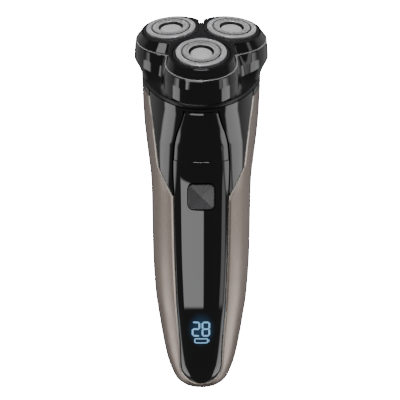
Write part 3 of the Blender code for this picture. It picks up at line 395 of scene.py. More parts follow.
# handling marks: broad soft patches with faint fine scratches, as a roughness between two values
def buildHandling():
    group, inside, outside = nodeGroup(
        "handling marks",
        [("Vector", "NodeSocketVector", None), ("Clean", "NodeSocketFloat", 0.06),
         ("Marked", "NodeSocketFloat", 0.14)],
        [("Roughness", "NodeSocketFloat"), ("Mask", "NodeSocketFloat")])
    patches = mapRange(group, noiseNode(group, inside.outputs["Vector"], 55.0, 4.0, 0.6), 0.42, 0.70)
    stretch = group.nodes.new("ShaderNodeMapping")
    stretch.inputs["Scale"].default_value = (1.0, 1.0, 0.06)
    group.links.new(inside.outputs["Vector"], stretch.inputs["Vector"])
    streaks = mapRange(group, noiseNode(group, stretch.outputs["Vector"], 2600.0, 2.0, 0.5), 0.60, 0.75)
    mask = mathNode(group, "ADD", mathNode(group, "MULTIPLY", patches, 0.7),
                    mathNode(group, "MULTIPLY", streaks, 0.3), clamp=True)
    rough = mapRange(group, mask, 0.0, 1.0,
                     inside.outputs["Clean"], inside.outputs["Marked"], "LINEAR")
    group.links.new(rough, outside.inputs["Roughness"])
    group.links.new(mask, outside.inputs["Mask"])
    return group


# rubbed edges: where the surface bulges out most
def buildEdgeWear():
    group, inside, outside = nodeGroup(
        "rubbed edges",
        [("Vector", "NodeSocketVector", None), ("Amount", "NodeSocketFloat", 0.5)],
        [("Mask", "NodeSocketFloat")])
    geometry = group.nodes.new("ShaderNodeNewGeometry")
    bulge = mapRange(group, geometry.outputs["Pointiness"], 0.52, 0.60)
    broken = mapRange(group, noiseNode(group, inside.outputs["Vector"], 900.0, 3.0, 0.6), 0.35, 0.65)
    mask = mathNode(group, "MULTIPLY", mathNode(group, "MULTIPLY", bulge, broken),
                    inside.outputs["Amount"], clamp=True)
    group.links.new(mask, outside.inputs["Mask"])
    return group


# turning lines round an axis: noise of the distance from it
def buildTurning():
    group, inside, outside = nodeGroup(
        "turning lines",
        [("Vector", "NodeSocketVector", None), ("Fineness", "NodeSocketFloat", 6000.0)],
        [("Height", "NodeSocketFloat"), ("Tone", "NodeSocketFloat")])
    split = group.nodes.new("ShaderNodeSeparateXYZ")
    group.links.new(inside.outputs["Vector"], split.inputs[0])
    squares = [mathNode(group, "POWER", mathNode(group, "ABSOLUTE", split.outputs[k]), 2.0)
               for k in range(2)]
    radius = mathNode(group, "SQRT", mathNode(group, "ADD", *squares))
    join = group.nodes.new("ShaderNodeCombineXYZ")
    group.links.new(radius, join.inputs[0])
    lines = noiseNode(group, join.outputs[0], inside.outputs["Fineness"], 2.0, 0.7)
    group.links.new(lines, outside.inputs["Height"])
    group.links.new(mapRange(group, lines, 0.3, 0.7, 0.82, 1.0), outside.inputs["Tone"])
    return group


# metal flakes in a lacquer: one shade for each tiny cell
def buildFlakes():
    group, inside, outside = nodeGroup(
        "lacquer flakes",
        [("Vector", "NodeSocketVector", None), ("Scale", "NodeSocketFloat", 7000.0)],
        [("Tone", "NodeSocketFloat"), ("Height", "NodeSocketFloat")])
    cells = group.nodes.new("ShaderNodeTexVoronoi")
    group.links.new(inside.outputs["Vector"], cells.inputs["Vector"])
    group.links.new(inside.outputs["Scale"], cells.inputs["Scale"])
    split = group.nodes.new("ShaderNodeSeparateColor")
    group.links.new(cells.outputs["Color"], split.inputs[0])
    tone = mapRange(group, split.outputs[0], 0.0, 1.0, 0.90, 1.08, "LINEAR")
    group.links.new(tone, outside.inputs["Tone"])
    group.links.new(split.outputs[1], outside.inputs["Height"])
    return group


grain, handling, edgeWear = buildGrain(), buildHandling(), buildEdgeWear()
turning, flakes = buildTurning(), buildFlakes()


# a material with its own Principled shader: fixed values go on the shader's sockets
def newMaterial(name, colour, metallic=0.0, **fixed):
    material = bpy.data.materials.new(name)
    material.use_nodes = True
    tree = material.node_tree
    shader = tree.nodes["Principled BSDF"]
    shader.inputs["Base Color"].default_value = (*colour, 1)
    shader.inputs["Metallic"].default_value = metallic
    for socket, value in fixed.items():
        shader.inputs[socket.replace("_", " ")].default_value = value
    coordinates = tree.nodes.new("ShaderNodeTexCoord")
    return material, tree, shader, coordinates.outputs["Object"]


def useGroup(tree, group, vector, **values):
    node = tree.nodes.new("ShaderNodeGroup")
    node.node_tree = group
    tree.links.new(vector, node.inputs["Vector"])
    for socket, value in values.items():
        node.inputs[socket].default_value = value
    return node


def bumpFrom(tree, shader, height, distance):
    bump = tree.nodes.new("ShaderNodeBump")
    bump.inputs["Strength"].default_value = 1.0
    bump.inputs["Distance"].default_value = distance
    tree.links.new(height, bump.inputs["Height"])
    tree.links.new(bump.outputs["Normal"], shader.inputs["Normal"])


# the base colour mixed towards another by a mask
def tint(tree, shader, mask, first, second):
    mix = tree.nodes.new("ShaderNodeMix")
    mix.data_type = "RGBA"
    tree.links.new(mask, mix.inputs["Factor"])
    mix.inputs["A"].default_value = (*first, 1)
    mix.inputs["B"].default_value = (*second, 1)
    tree.links.new(mix.outputs["Result"], shader.inputs["Base Color"])
    return mix


def plasticMaterial(name, colour, worn, clean, marked, grainScale=2500.0, grainDepth=0.0000015,
                    wear=0.4, **fixed):
    material, tree, shader, place = newMaterial(name, colour, **fixed)
    marks = useGroup(tree, handling, place, Clean=clean, Marked=marked)
    tree.links.new(marks.outputs["Roughness"], shader.inputs["Roughness"])
    edges = useGroup(tree, edgeWear, place, Amount=wear)
    tint(tree, shader, edges.outputs["Mask"], colour, worn)
    texture = useGroup(tree, grain, place, Scale=grainScale, Depth=1.0)
    bumpFrom(tree, shader, texture.outputs["Height"], grainDepth)
    return material


def metalMaterial(name, colour, dark, clean, marked, frameMatrix=None, fineness=5000.0,
                  lineDepth=0.000003, metallic=1.0):
    material, tree, shader, place = newMaterial(name, colour, metallic)
    if frameMatrix is not None:
        mapping = tree.nodes.new("ShaderNodeMapping")
        mapping.vector_type = "TEXTURE"
        mapping.inputs["Location"].default_value = frameMatrix.to_translation()
        mapping.inputs["Rotation"].default_value = frameMatrix.to_euler()
        tree.links.new(place, mapping.inputs["Vector"])
        place = mapping.outputs["Vector"]
    lines = useGroup(tree, turning, place, Fineness=fineness)
    tint(tree, shader, lines.outputs["Tone"], dark, colour)
    marks = useGroup(tree, handling, place, Clean=clean, Marked=marked)
    tree.links.new(marks.outputs["Roughness"], shader.inputs["Roughness"])
    bumpFrom(tree, shader, lines.outputs["Height"], lineDepth)
    return material


# the head's own frame, where its axis meets the plane of the guards, and each guard's frame
headPlace = (Matrix.Translation(Vector((0, *(float(v) for v in axisPoint(axisLength)[:2]))) * mm)
             @ Matrix.Rotation(handle["tilt"], 4, "X"))
podPlaces = [headPlace @ Matrix.Rotation(turn, 4, "Z")
             @ Matrix.Translation(Vector((0, -head["pod"], 0)) * mm)
             @ Matrix.Rotation(head["podTilt"], 4, "X") for turn in turns]

finish = dict(
    glossBlack=(0.0035, 0.0035, 0.0040), glossWorn=(0.030, 0.030, 0.032),
    champagne=(0.480, 0.402, 0.354), champagneDark=(0.41, 0.341, 0.300),
    # painted highlight: the cream colours on the casing's rolled edge
    rim=(0.92, 0.86, 0.77), rimDark=(0.80, 0.74, 0.66),
    # the light round the display: its colour and strength, and in metres its height over the
    # foot, where it is full and where it ends
    halo=(0.02, 0.09, 0.20), haloStrength=0.35,
    haloHeight=0.0330, haloFull=0.0020, haloEnd=0.0072, haloUpright=0.72,
)
glossBlack = plasticMaterial("gloss black", finish["glossBlack"], finish["glossWorn"], 0.035, 0.075,
                             wear=0.3, Coat_Weight=1.0, Coat_Roughness=0.03)
buttonBlack = plasticMaterial("button black", (0.060, 0.060, 0.063), (0.10, 0.10, 0.10), 0.26, 0.34,
                              grainScale=4500.0, grainDepth=0.000004, wear=0.4)
satinBlack = plasticMaterial("satin black", (0.014, 0.014, 0.015), (0.06, 0.06, 0.06), 0.30, 0.42,
                             grainScale=5000.0, grainDepth=0.000006)
innerPlastic = plasticMaterial("inner plastic", (0.045, 0.045, 0.05), (0.12, 0.12, 0.12), 0.40, 0.55,
                               grainScale=3500.0, grainDepth=0.000008)
gearPlastic = plasticMaterial("gear plastic", (0.72, 0.71, 0.66), (0.80, 0.79, 0.75), 0.35, 0.5,
                              grainScale=3000.0, grainDepth=0.000004, Subsurface_Weight=0.05)
rubberSeal = plasticMaterial("rubber seal", (0.018, 0.018, 0.018), (0.05, 0.05, 0.05), 0.65, 0.85,
                             grainScale=6000.0, grainDepth=0.00001)
boardGreen = plasticMaterial("board green", (0.015, 0.12, 0.045), (0.06, 0.2, 0.1), 0.3, 0.45)
cellWrap = plasticMaterial("cell wrap", (0.04, 0.11, 0.30), (0.12, 0.2, 0.4), 0.3, 0.45)
brightSteel = metalMaterial("bright steel", (0.60, 0.60, 0.61), (0.36, 0.36, 0.37), 0.24, 0.36)
# painted shade: the cutters get a near-black steel for the shade under the guards, not their own bright
# steel
shadedCutterSteel = metalMaterial("cutter steel painted shade", (0.10, 0.10, 0.105), (0.05, 0.05, 0.052), 0.34, 0.45)
# painted highlight: a light grey for the chamber's rolled top edge, standing in for the highlight along the
# seam
seamHighlight = plasticMaterial("seam painted highlight", (0.42, 0.42, 0.43), (0.5, 0.5, 0.5), 0.14, 0.22, Metallic=0.5)
# painted shade: a near-black steel for the guards' groove and window walls, standing in for the shade in
# those recesses
paintedShade = plasticMaterial("blackened steel", (0.012, 0.012, 0.013), (0.05, 0.05, 0.05), 0.45, 0.6)
brassMetal = metalMaterial("brass", (0.80, 0.58, 0.26), (0.55, 0.38, 0.15), 0.25, 0.38)


# one metal for each guard, its turning lines round that guard's own axis
def podMetals(name, colour, dark, clean, marked):
    return [metalMaterial(f"{name} {i}", colour, dark, clean, marked, place, metallic=0.60)
            for i, place in enumerate(podPlaces, 1)]


guardSteel = podMetals("guard steel", (0.68, 0.68, 0.69), (0.40, 0.40, 0.41), 0.26, 0.34)
capSteel = podMetals("cap steel", (0.74, 0.74, 0.75), (0.60, 0.60, 0.61), 0.38, 0.48)


def champagneMaterial():
    material, tree, shader, place = newMaterial("champagne lacquer", finish["champagne"], 0.75,
                                                Coat_Weight=0.25, Coat_Roughness=0.22)
    chips = useGroup(tree, flakes, place, Scale=5200.0)
    mix = tint(tree, shader, chips.outputs["Tone"], finish["champagneDark"], finish["champagne"])
    mix.clamp_factor = True
    marks = useGroup(tree, handling, place, Clean=0.33, Marked=0.40)
    tree.links.new(marks.outputs["Roughness"], shader.inputs["Roughness"])
    bumpFrom(tree, shader, chips.outputs["Height"], 0.0000025)
    return material


champagne = champagneMaterial()
rimHighlight = metalMaterial("rim painted highlight", finish["rim"], finish["rimDark"], 0.16, 0.24, metallic=0.4)


# gloss black with a faint light round the display that falls off from its middle
def panelMaterial():
    material, tree, shader, place = newMaterial("panel black", finish["glossBlack"],
                                                Coat_Weight=1.0, Coat_Roughness=0.03)
    marks = useGroup(tree, handling, place, Clean=0.03, Marked=0.07)
    tree.links.new(marks.outputs["Roughness"], shader.inputs["Roughness"])
    edges = useGroup(tree, edgeWear, place, Amount=0.3)
    tint(tree, shader, edges.outputs["Mask"], finish["glossBlack"], finish["glossWorn"])
    middle = tree.nodes.new("ShaderNodeMapping")
    upright = finish["haloUpright"]
    middle.inputs["Location"].default_value = (0.0, 0.0, -finish["haloHeight"] * upright)
    middle.inputs["Scale"].default_value = (1.0, 0.0, upright)
    tree.links.new(place, middle.inputs["Vector"])
    length = tree.nodes.new("ShaderNodeVectorMath")
    length.operation = "LENGTH"
    tree.links.new(middle.outputs["Vector"], length.inputs[0])
    near = mapRange(tree, length.outputs["Value"], finish["haloEnd"], finish["haloFull"])
    glow = tree.nodes.new("ShaderNodeMix")
    glow.data_type = "RGBA"
    tree.links.new(near, glow.inputs["Factor"])
    glow.inputs["A"].default_value = (0, 0, 0, 1)
    glow.inputs["B"].default_value = (*finish["halo"], 1)
    tree.links.new(glow.outputs["Result"], shader.inputs["Emission Color"])
    shader.inputs["Emission Strength"].default_value = finish["haloStrength"]
    return material


panelBlack = panelMaterial()


# lit segments: a pale blue light, a little uneven from place to place
def glowMaterial():
    material, tree, shader, place = newMaterial("display light", (0.02, 0.05, 0.08))
    texture = useGroup(tree, grain, place, Scale=1800.0, Depth=1.0)
    level = mapRange(tree, texture.outputs["Height"], 0.3, 0.7)
    mix = tree.nodes.new("ShaderNodeMix")
    mix.data_type = "RGBA"
    tree.links.new(level, mix.inputs["Factor"])
    mix.inputs["A"].default_value = (0.20, 0.52, 0.86, 1)
    mix.inputs["B"].default_value = (0.34, 0.68, 1.0, 1)
    tree.links.new(mix.outputs["Result"], shader.inputs["Emission Color"])
    shader.inputs["Emission Strength"].default_value = 1.0
    shader.inputs["Roughness"].default_value = 0.3
    return material


displayLight = glowMaterial()
print("materials made")


# give a piece its materials and its body, and hide the nodes it stands for
def finishPiece(piece, materials, body, slot, *nodes):
    for material in materials:
        piece.data.materials.append(material)
    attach(piece, body)
    if nodes:
        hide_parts(*nodes)
    return piece


# several runs of row heights as one, sorted, with near doubles dropped
def heightRows(*runs):
    return np.unique(np.round(np.concatenate(runs), 4))


# the casing: its skin runs round the back from one edge of the opening to the other, and closes in front
# below the panel; a cream painted highlight follows the opening's rolled edge
def makeCasing():
    seam = panel["bottom"] - panel["endGap"]
    foot, topBand = casing["foot"], casing["topBand"]
    heights = heightRows(
        np.linspace(0, 1, 9)**2 * foot, np.linspace(foot, seam, 14),
        seam + panel["roundEnd"] * np.linspace(0, 1, 46)**2,
        np.linspace(seam + panel["roundEnd"], casing["shoulderLow"], 60),
        np.linspace(casing["shoulderLow"], casing["shoulderHigh"], 26),
        np.linspace(casing["shoulderHigh"], casingTop - topBand, 26),
        casingTop - topBand * np.linspace(0, 1, 8)**2)
    edge = angleAt(casingHalf(heights), heights)
    edge[heights <= seam + 1e-6] = 0.0
    crowded = 0.055        # share of the way round that is crowded with columns, at either edge
    near = np.linspace(0, 1, 9)**1.6 * crowded
    middle = np.linspace(crowded, 1 - crowded, 92)[1:-1]
    share = np.concatenate([near, middle, 1 - near[::-1]])
    angle = edge[:, None] + (2 * pi - 2 * edge[:, None]) * share[None, :]
    height = np.broadcast_to(heights[:, None], angle.shape)
    skin = handleSkin(angle, height)
    out = skinNormals(angle, height)
    down = np.array([0.0, 0.0, -1.0])
    out[0] = (out[0] + down) / np.linalg.norm(out[0] + down, axis=-1, keepdims=True)
    # the opening's edge, drawn flat, and each point's distance from it
    lineHeights = heightRows(seam + panel["roundEnd"] * np.linspace(0, 1, 60)**2,
                             np.linspace(seam + panel["roundEnd"], casingTop + 3, 90))
    line = np.stack([casingHalf(lineHeights), lineHeights], axis=-1)
    line[0, 0] = 0.0
    flat = np.stack([np.abs(skin[..., 0]), height], axis=-1).reshape(-1, 2)
    reach = distanceTo(flat, line).reshape(height.shape)
    # on the flank the skin turns away, so the flat distance is stretched by its slope
    slope = np.maximum(np.abs(out[..., 1]), 0.35)
    reach = np.where(np.cos(angle) > 0, reach / slope, np.inf)
    top = rollDepth(casingTop - height, casing["roll"] * 0.7)
    sink = np.maximum(rollDepth(reach, casing["roll"]), top)
    outer = skin - out * sink[..., None]
    inner = skin - out * casing["wall"]
    # the foot's flat face, as rings that shrink to its middle
    ground = skin[0][None] * np.linspace(0, 1, 6)[:-1, None, None]
    outer = np.concatenate([ground, outer])
    inner = np.concatenate([ground + np.array([0.0, 0.0, casing["wall"]]), inner])
    # painted highlight: the rolled faces along the opening get the cream colour
    rolled = reach < casing["roll"] * 1.02
    rim = np.concatenate([np.zeros((len(ground), len(share) - 1), bool), rolled[:-1, :-1] & rolled[1:, 1:]])
    free = np.concatenate([np.zeros(len(ground), bool), heights >= seam - 1e-6])[:-1, None]
    piece = skinMesh("rearCasing", [
        dict(points=outer, finish=(rim & free).astype(int)), dict(points=inner[:, ::-1]),
        dict(points=np.stack([outer[:, 0], inner[:, 0]], axis=1), keep=free),
        dict(points=np.stack([inner[:, -1], outer[:, -1]], axis=1), keep=free),
        dict(points=np.stack([outer[-1], inner[-1]]))])
    back = float(handleSkin(np.array(pi), np.array(port["height"]))[1])
    mouth = 1 + port["flare"] / 3
    cutAway(piece, cutterAlong(
        "portCutter", roundedSquare(port["halfWide"], port["halfTall"], port["corner"]),
        (back, port["height"]),
        ((0, -port["inside"]), (1, -port["inside"]), (1, -port["flare"]), (mouth, 0.05),
         (mouth, port["outside"]), (0, port["outside"]))))
    return finishPiece(piece, [champagne, rimHighlight], "handle", "champagne", "rear_casing")


# the band over the casing's top, round the sides and the back
def makeNeckRing():
    low, high, roll = casingTop + 0.3, shellTop, 0.3
    heights = np.concatenate([low + roll * np.linspace(0, 1, 6)**2,
                              np.linspace(low + roll, high - roll, 6)[1:-1],
                              high - roll * np.linspace(1, 0, 6)**2])
    edge = angleAt(casingHalf(heights), heights)
    angle = edge[:, None] + (2 * pi - 2 * edge[:, None]) * np.linspace(0, 1, 160)[None, :]
    height = np.broadcast_to(heights[:, None], angle.shape)
    skin = handleSkin(angle, height)
    out = skinNormals(angle, height)
    sink = rollDepth(np.minimum(height - low, high - height), roll)
    outer = skin - out * sink[..., None]
    inner = skin - out * casing["wall"]
    piece = skinMesh("neckRing", plate(outer, inner))
    return finishPiece(piece, [glossBlack], "handle", "black_gloss", "neck_ring")


# the upper shell: full at its sides and sunk behind the panel; below the split it is a narrow
# tongue that lies wholly behind the panel
def makeUpperShell():
    split = casing["shoulderLow"] + 0.15 * (casing["shoulderHigh"] - casing["shoulderLow"])
    top = panel["top"] + 0.3
    heights = heightRows(np.linspace(casing["shellBottom"], split, 16), [split + 0.05],
                         np.linspace(split + 0.05, casing["shoulderHigh"], 30),
                         np.linspace(casing["shoulderHigh"], top, 70), [top + 0.05, top + 0.12],
                         np.linspace(top + 0.2, shellTop - 0.5, 6),
                         shellTop - 0.5 * np.linspace(0, 1, 5)**2)
    under = heights <= split + 1e-6
    side = np.where(under, panelHalf(heights) - 0.02, casingHalf(heights) - 0.3)
    recess = np.where(under, side - 0.1, panelHalf(heights) + 0.3)
    openTop = heights > top + 1e-6
    edge = angleAt(side, heights)[:, None]
    stepOut = angleAt(recess + 0.05, heights)[:, None]
    stepIn = angleAt(recess, heights)[:, None]
    legs = np.concatenate([np.linspace(0, 1, 6)**1.6 * 0.05, np.linspace(0.05, 1, 22)[1:]])[None, :]
    middle = np.linspace(-1, 1, 33)[None, :]
    angle = np.concatenate([-edge + (edge - stepOut) * legs, stepIn * middle,
                            (edge - (edge - stepOut) * legs)[:, ::-1]], axis=1)
    ones = np.ones_like(legs)
    sunk = np.concatenate([under[:, None] * ones, (~openTop)[:, None] * np.ones_like(middle),
                           under[:, None] * ones], axis=1)
    height = np.broadcast_to(heights[:, None], angle.shape)
    skin = handleSkin(angle, height)
    out = skinNormals(angle, height)
    # a small roll along the outer edges
    fromFront = np.linalg.norm(skin - handleSkin(np.zeros_like(angle), height), axis=-1)
    halfWidth = fromFront.max(axis=1, keepdims=True)
    fromEdge = (edge - np.abs(angle)) * halfWidth / np.maximum(edge, 1e-3)
    roll = np.where(sunk > 0, 0.0, rollDepth(np.maximum(fromEdge, 0.0), 0.35))
    outer = skin - out * (sunk * casing["recess"] + roll)[..., None]
    inner = skin - out * (sunk * casing["recess"] + casing["wall"])[..., None]
    piece = skinMesh("upperFrontShell", plate(outer, inner))
    cutAway(piece, buttonHole("shellHole", 0.3))
    return finishPiece(piece, [glossBlack], "handle", "black_gloss", "upper_front_shell")


button = dict(height=97.2, half=5.8, corner=2.4, gap=0.3, dish=0.5, faceRoll=0.35, flare=0.34)
frontAtButton = float(handleSkin(np.array(0.0), np.array(button["height"]))[1])


# the cutter for the button's rounded square hole, which may flare at its mouth
def buttonHole(name, clearance, flare=0.0, mouth=0.0):
    size = button["half"] + clearance
    behind, before, wide = 6.0, -8.0, 1 + flare / size
    return cutterAlong(
        name, roundedSquare(size, size, button["corner"] + clearance, 20),
        (frontAtButton - mouth, button["height"]),
        ((0.0, behind), (1.0, behind), (1.0, flare), (wide, -0.02), (wide, before), (0.0, before)))


# the panel's outer face at an angle and height: the skin, raised by the crown inside its sloping
# side facets, rolled at the edge and stepped down above the step line
def panelFace(angle, s, lift=0.0):
    skin = handleSkin(angle, s)
    out = skinNormals(angle, s)
    half = panelHalf(s)
    fromSide = np.maximum(half - np.abs(skin[..., 0]), 0.0)
    fromTop = np.maximum(panel["top"] - s, 0.0)
    facet = panel["facet"] * np.clip(half / 9.0, 0.3, 1.0)
    slope = np.clip(1 - fromSide / facet, 0.0, 1.0)
    raised = panel["crown"] - panel["facetDrop"] * slope
    raised = raised - rollDepth(np.minimum(fromSide, fromTop), panel["edgeRoll"])
    step = smoothStep((s - panel["stepHeight"]) / panel["stepLength"])
    endDrop = 0.35 * np.clip(1 - fromTop / 1.0, 0.0, 1.0)
    raised = raised - step * panel["stepDrop"] - endDrop
    return skin + out * (raised + lift)[..., None], skin, out


def makePanel():
    roundEnd = panel["bottom"] + panel["roundEnd"] * np.linspace(0, 1, 44)**2
    stepLow, stepHigh = panel["stepHeight"] - 0.1, panel["stepHeight"] + 0.4
    endLow = panel["top"] - 1.2
    heights = heightRows(roundEnd, np.linspace(roundEnd[-1], stepLow, 90),
                         np.linspace(stepLow, stepHigh, 10), np.linspace(stepHigh, endLow, 26),
                         np.linspace(endLow, panel["top"], 14))
    half = np.maximum(panelHalf(heights), 0.5)
    edge = angleAt(half, heights)[:, None]
    share = np.concatenate([np.linspace(0, 0.05, 6), np.linspace(0.05, 0.32, 12)[1:],
                            np.linspace(0.32, 1, 26)[1:]])
    across = np.concatenate([share - 1, (1 - share)[::-1][1:]])[None, :]
    angle = edge * across
    height = np.broadcast_to(heights[:, None], angle.shape)
    outer, skin, out = panelFace(angle, height)
    inner = skin - out * panel["thickness"]
    piece = skinMesh("frontPanel", plate(outer, inner), crease=20)
    cutAway(piece, buttonHole("panelHole", button["gap"] + 0.12, button["flare"], panel["crown"]), 20)
    return finishPiece(piece, [panelBlack], "handle", "black_gloss", "front_panel")


# the button: four facets that dip to the middle, a rolled edge, straight sides and a stem behind
def makeButton():
    face = frontAtButton - panel["crown"]
    half, roll = button["half"], button["faceRoll"]
    outline = roundedSquare(half, half, button["corner"], 20)
    rows = []
    for spread in np.linspace(0, 1 - roll / half, 16):
        inside = outline * spread
        dip = button["dish"] * (1 - np.maximum(np.abs(inside[:, 0]), np.abs(inside[:, 1])) / half)
        rows.append(np.stack([inside[:, 0], face + dip, inside[:, 1]], axis=-1))
    start = rows[-1][:, 1]
    for t in np.linspace(0, pi / 2, 6)[1:]:
        wide = outline * (1 - roll / half + roll / half * sin(t))
        rows.append(np.stack([wide[:, 0], start + roll * (1 - cos(t)), wide[:, 1]], axis=-1))
    for spread, depth in ((1.0, 3.3), (0.985, 3.4), (0.40, 3.4), (0.40, 5.6), (0.0, 5.6)):
        wide = outline * spread
        rows.append(np.stack([wide[:, 0], np.full(len(wide), face + depth), wide[:, 1]], axis=-1))
    points = np.stack(rows) + np.array([0, 0, button["height"]])
    piece = skinMesh("powerButton", [dict(points=points, around=True)], crease=4)
    return finishPiece(piece, [buttonBlack], "power_button", "black_gloss", "power_button")


makeCasing()
makeNeckRing()
makeUpperShell()
makePanel()
makeButton()
print("handle made")


# the display: seven-segment digits and a battery sign, lit behind the panel's face
display = dict(low=29.6, high=37.3, stroke=0.78, gap=0.10, thick=0.04, sink=0.012,
               digits=((-4.25, -0.42, "abged"), (0.18, 4.02, "abcdefg")),
               sign=(-3.15, 3.15, 26.05, 28.7), signStroke=0.52, nub=(0.5, 1.3))


# a closed thin tile on the panel's face, from a flat grid of x and height
def tile(x, z, ring=False):
    half = handleSkin(np.full_like(x, pi / 2), z)[..., 0]
    angle = np.arcsin(np.clip(x / half, -1, 1))
    front, _, _ = panelFace(angle, z, display["thick"] - display["sink"])
    back, _, _ = panelFace(angle, z, -display["sink"] - display["thick"])
    grids = [dict(points=front, around=ring), dict(points=back, around=ring),
             dict(points=np.stack([front[0], back[0]]), around=ring),
             dict(points=np.stack([back[-1], front[-1]]), around=ring)]
    if not ring:
        grids += [dict(points=np.stack([back[:, 0], front[:, 0]], axis=1)),
                  dict(points=np.stack([front[:, -1], back[:, -1]], axis=1))]
    return grids


# a bar between two points whose ends narrow at 45 degrees
def bar(x0, z0, x1, z1, stroke):
    start, end = np.array([x0, z0]), np.array([x1, z1])
    length = np.linalg.norm(end - start)
    along = (end - start) / length
    side = np.array([-along[1], along[0]])
    u = np.concatenate([np.linspace(0, stroke / 2, 4), np.linspace(stroke / 2, length - stroke / 2, 8)[1:],
                        np.linspace(length - stroke / 2, length, 4)[1:]])
    width = np.minimum(np.minimum(u, length - u), stroke / 2) + 0.02
    v = np.array([-1.0, 0.0, 1.0])
    points = start + u[:, None, None] * along + (width[:, None] * v)[..., None] * side
    return tile(points[..., 0], points[..., 1])


def makeDisplay():
    low, high, stroke, gap = (display[k] for k in ("low", "high", "stroke", "gap"))
    middle = (low + high) / 2
    grids = []
    for left, right, lit in display["digits"]:
        a, b = left + stroke / 2, right - stroke / 2
        bottom, top = low + stroke / 2, high - stroke / 2
        segments = dict(
            a=(a + gap, top, b - gap, top), b=(b, middle + gap, b, top - gap),
            c=(b, bottom + gap, b, middle - gap), d=(a + gap, bottom, b - gap, bottom),
            e=(a, bottom + gap, a, middle - gap), f=(a, middle + gap, a, top - gap),
            g=(a + gap, middle, b - gap, middle))
        for name in lit:
            grids += bar(*segments[name], stroke)
    digits = skinMesh("displayDigits", grids)
    finishPiece(digits, [displayLight], "handle", "display_light")
    # the sign: a frame between two rounded outlines with a nub at its end
    x0, x1, z0, z1 = display["sign"]
    halfX, halfZ = (x1 - x0) / 2, (z1 - z0) / 2
    outer = roundedSquare(halfX, halfZ, 0.8, 10)
    inner = roundedSquare(halfX - display["signStroke"], halfZ - display["signStroke"], 0.4, 10)
    ring = np.stack([outer, (outer + inner) / 2, inner]) + np.array([(x0 + x1) / 2, (z0 + z1) / 2])
    sign = tile(ring[..., 0], ring[..., 1], ring=True)
    nubX, nubZ = np.meshgrid(x1 + np.linspace(0.16, display["nub"][0], 3),
                             (z0 + z1) / 2 + np.linspace(-0.5, 0.5, 4) * display["nub"][1], indexing="ij")
    sign += tile(nubX, nubZ)
    piece = skinMesh("batterySign", sign)
    finishPiece(piece, [displayLight], "handle", "display_light")


makeDisplay()
print("display made")


# height of the holder's three tilted faces: each is square to its guard's axis, and where two
# meet the lower one counts, softened by a logarithm of exponentials
def faceHeight(angle, radius, soft=9.0):
    total = 0.0
    for turn in turns:
        plane = -head["face"] + (head["pod"] - radius * np.cos(angle - turn)) * tan(head["podTilt"])
        total = total + np.exp(-soft * plane)
    return -np.log(total) / soft


# the holder's whole upper side: its faces, cut by the chamfer that falls to the seam
def holderTop(x, y, soft=7.0):
    angle = np.arctan2(x, -y)
    radius = np.hypot(x, y)
    outline = lobes(angle, head["pod"], head["wallTop"])
    rim = outline * head["rimScale"]
    share = (outline - radius) / (outline - rim)
    chamfer = -head["holderBottom"] + share * (faceHeight(angle, rim) + head["holderBottom"])
    flat = faceHeight(angle, radius)
    return -np.log(np.exp(-soft * flat) + np.exp(-soft * chamfer)) / soft


# distance from a pod's centre to the holder's outline or to the line half way to the next pod
def podReach(swing):
    c = head["pod"]
    low, high = np.full_like(swing, 5.0), np.full_like(swing, 40.0)
    for _ in range(45):
        middle = (low + high) / 2
        x, y = middle * np.sin(swing), -(c + middle * np.cos(swing))
        angle = np.arctan2(x, -y)
        inside = (np.hypot(x, y) < lobes(angle, c, head["wallTop"])) & (np.abs(angle) < pi / 3)
        low, high = np.where(inside, middle, low), np.where(inside, high, middle)
    return (low + high) / 2


# the holder: one patch from each opening's edge to the outline and to the lines half way to the
# next pods, with a floor under it
def makeHolder():
    # the swing at which the outline meets the line between two pods
    low, high = 1.0, 2.6
    for _ in range(40):
        middle = (low + high) / 2
        reach = podReach(np.array([middle]))[0]
        angle = atan2(reach * sin(middle), head["pod"] + reach * cos(middle))
        low, high = (middle, high) if angle < pi / 3 - 1e-7 else (low, middle)
    corner = low
    outer = np.linspace(-corner, corner, 97)
    inner = corner + (2 * pi - 2 * corner) * np.linspace(0, 1, 61)[1:-1]
    swing = np.concatenate([outer, inner])
    reach = podReach(swing)
    start = head["opening"]
    lip = 0.3 / 2.6        # share of the way out that is crowded for the opening's rolled edge
    share = np.concatenate([np.zeros(2), np.linspace(0, 1, 6)**1.5 * lip,
                            np.linspace(lip, 1.0, 40)[1:]])[:, None]
    distance = start + (reach[None, :] - start) * share
    grids = []
    for turn in turns:
        x, y = distance * np.sin(swing), -(head["pod"] + distance * np.cos(swing))
        turnedX, turnedY = x * cos(turn) - y * sin(turn), x * sin(turn) + y * cos(turn)
        z = holderTop(turnedX, turnedY)
        z = z - rollDepth(distance - start, head["openingRoll"])
        z[0] = -head["holderBottom"]
        top = np.stack([turnedX, turnedY, z], axis=-1)
        floor = top[[0, -1]]
        floor[1, :, 2] = -head["holderBottom"]
        top[-1, :len(outer), 2] = -head["holderBottom"]
        grids += [dict(points=top, around=True), dict(points=floor, around=True)]
    piece = skinMesh("headHolder", grids, headPlace)
    # the finger notch at the back
    back = float(lobes(np.array(pi), head["pod"], head["wallTop"])) * head["rimScale"]
    cutAway(piece, cutterAlong(
        "notchCutter", roundedSquare(notch["halfWide"], notch["halfTall"], notch["corner"], 8),
        (back, notch["height"]),
        ((0, -notch["inside"]), (1, -notch["inside"]), (1, notch["outside"]), (0, notch["outside"])),
        headPlace))
    return finishPiece(piece, [glossBlack], "holder", "black_gloss", "head_holder")


# depth of the pods' lower edge: deepest at the front, rising towards the sides and the back
def bulgeDepth(angle):
    away = (1 - np.cos(angle)) / 2
    return head["bulge"] - (head["bulge"] - head["bulgeSide"]) * smoothStep(away * 2.2 - 0.2)


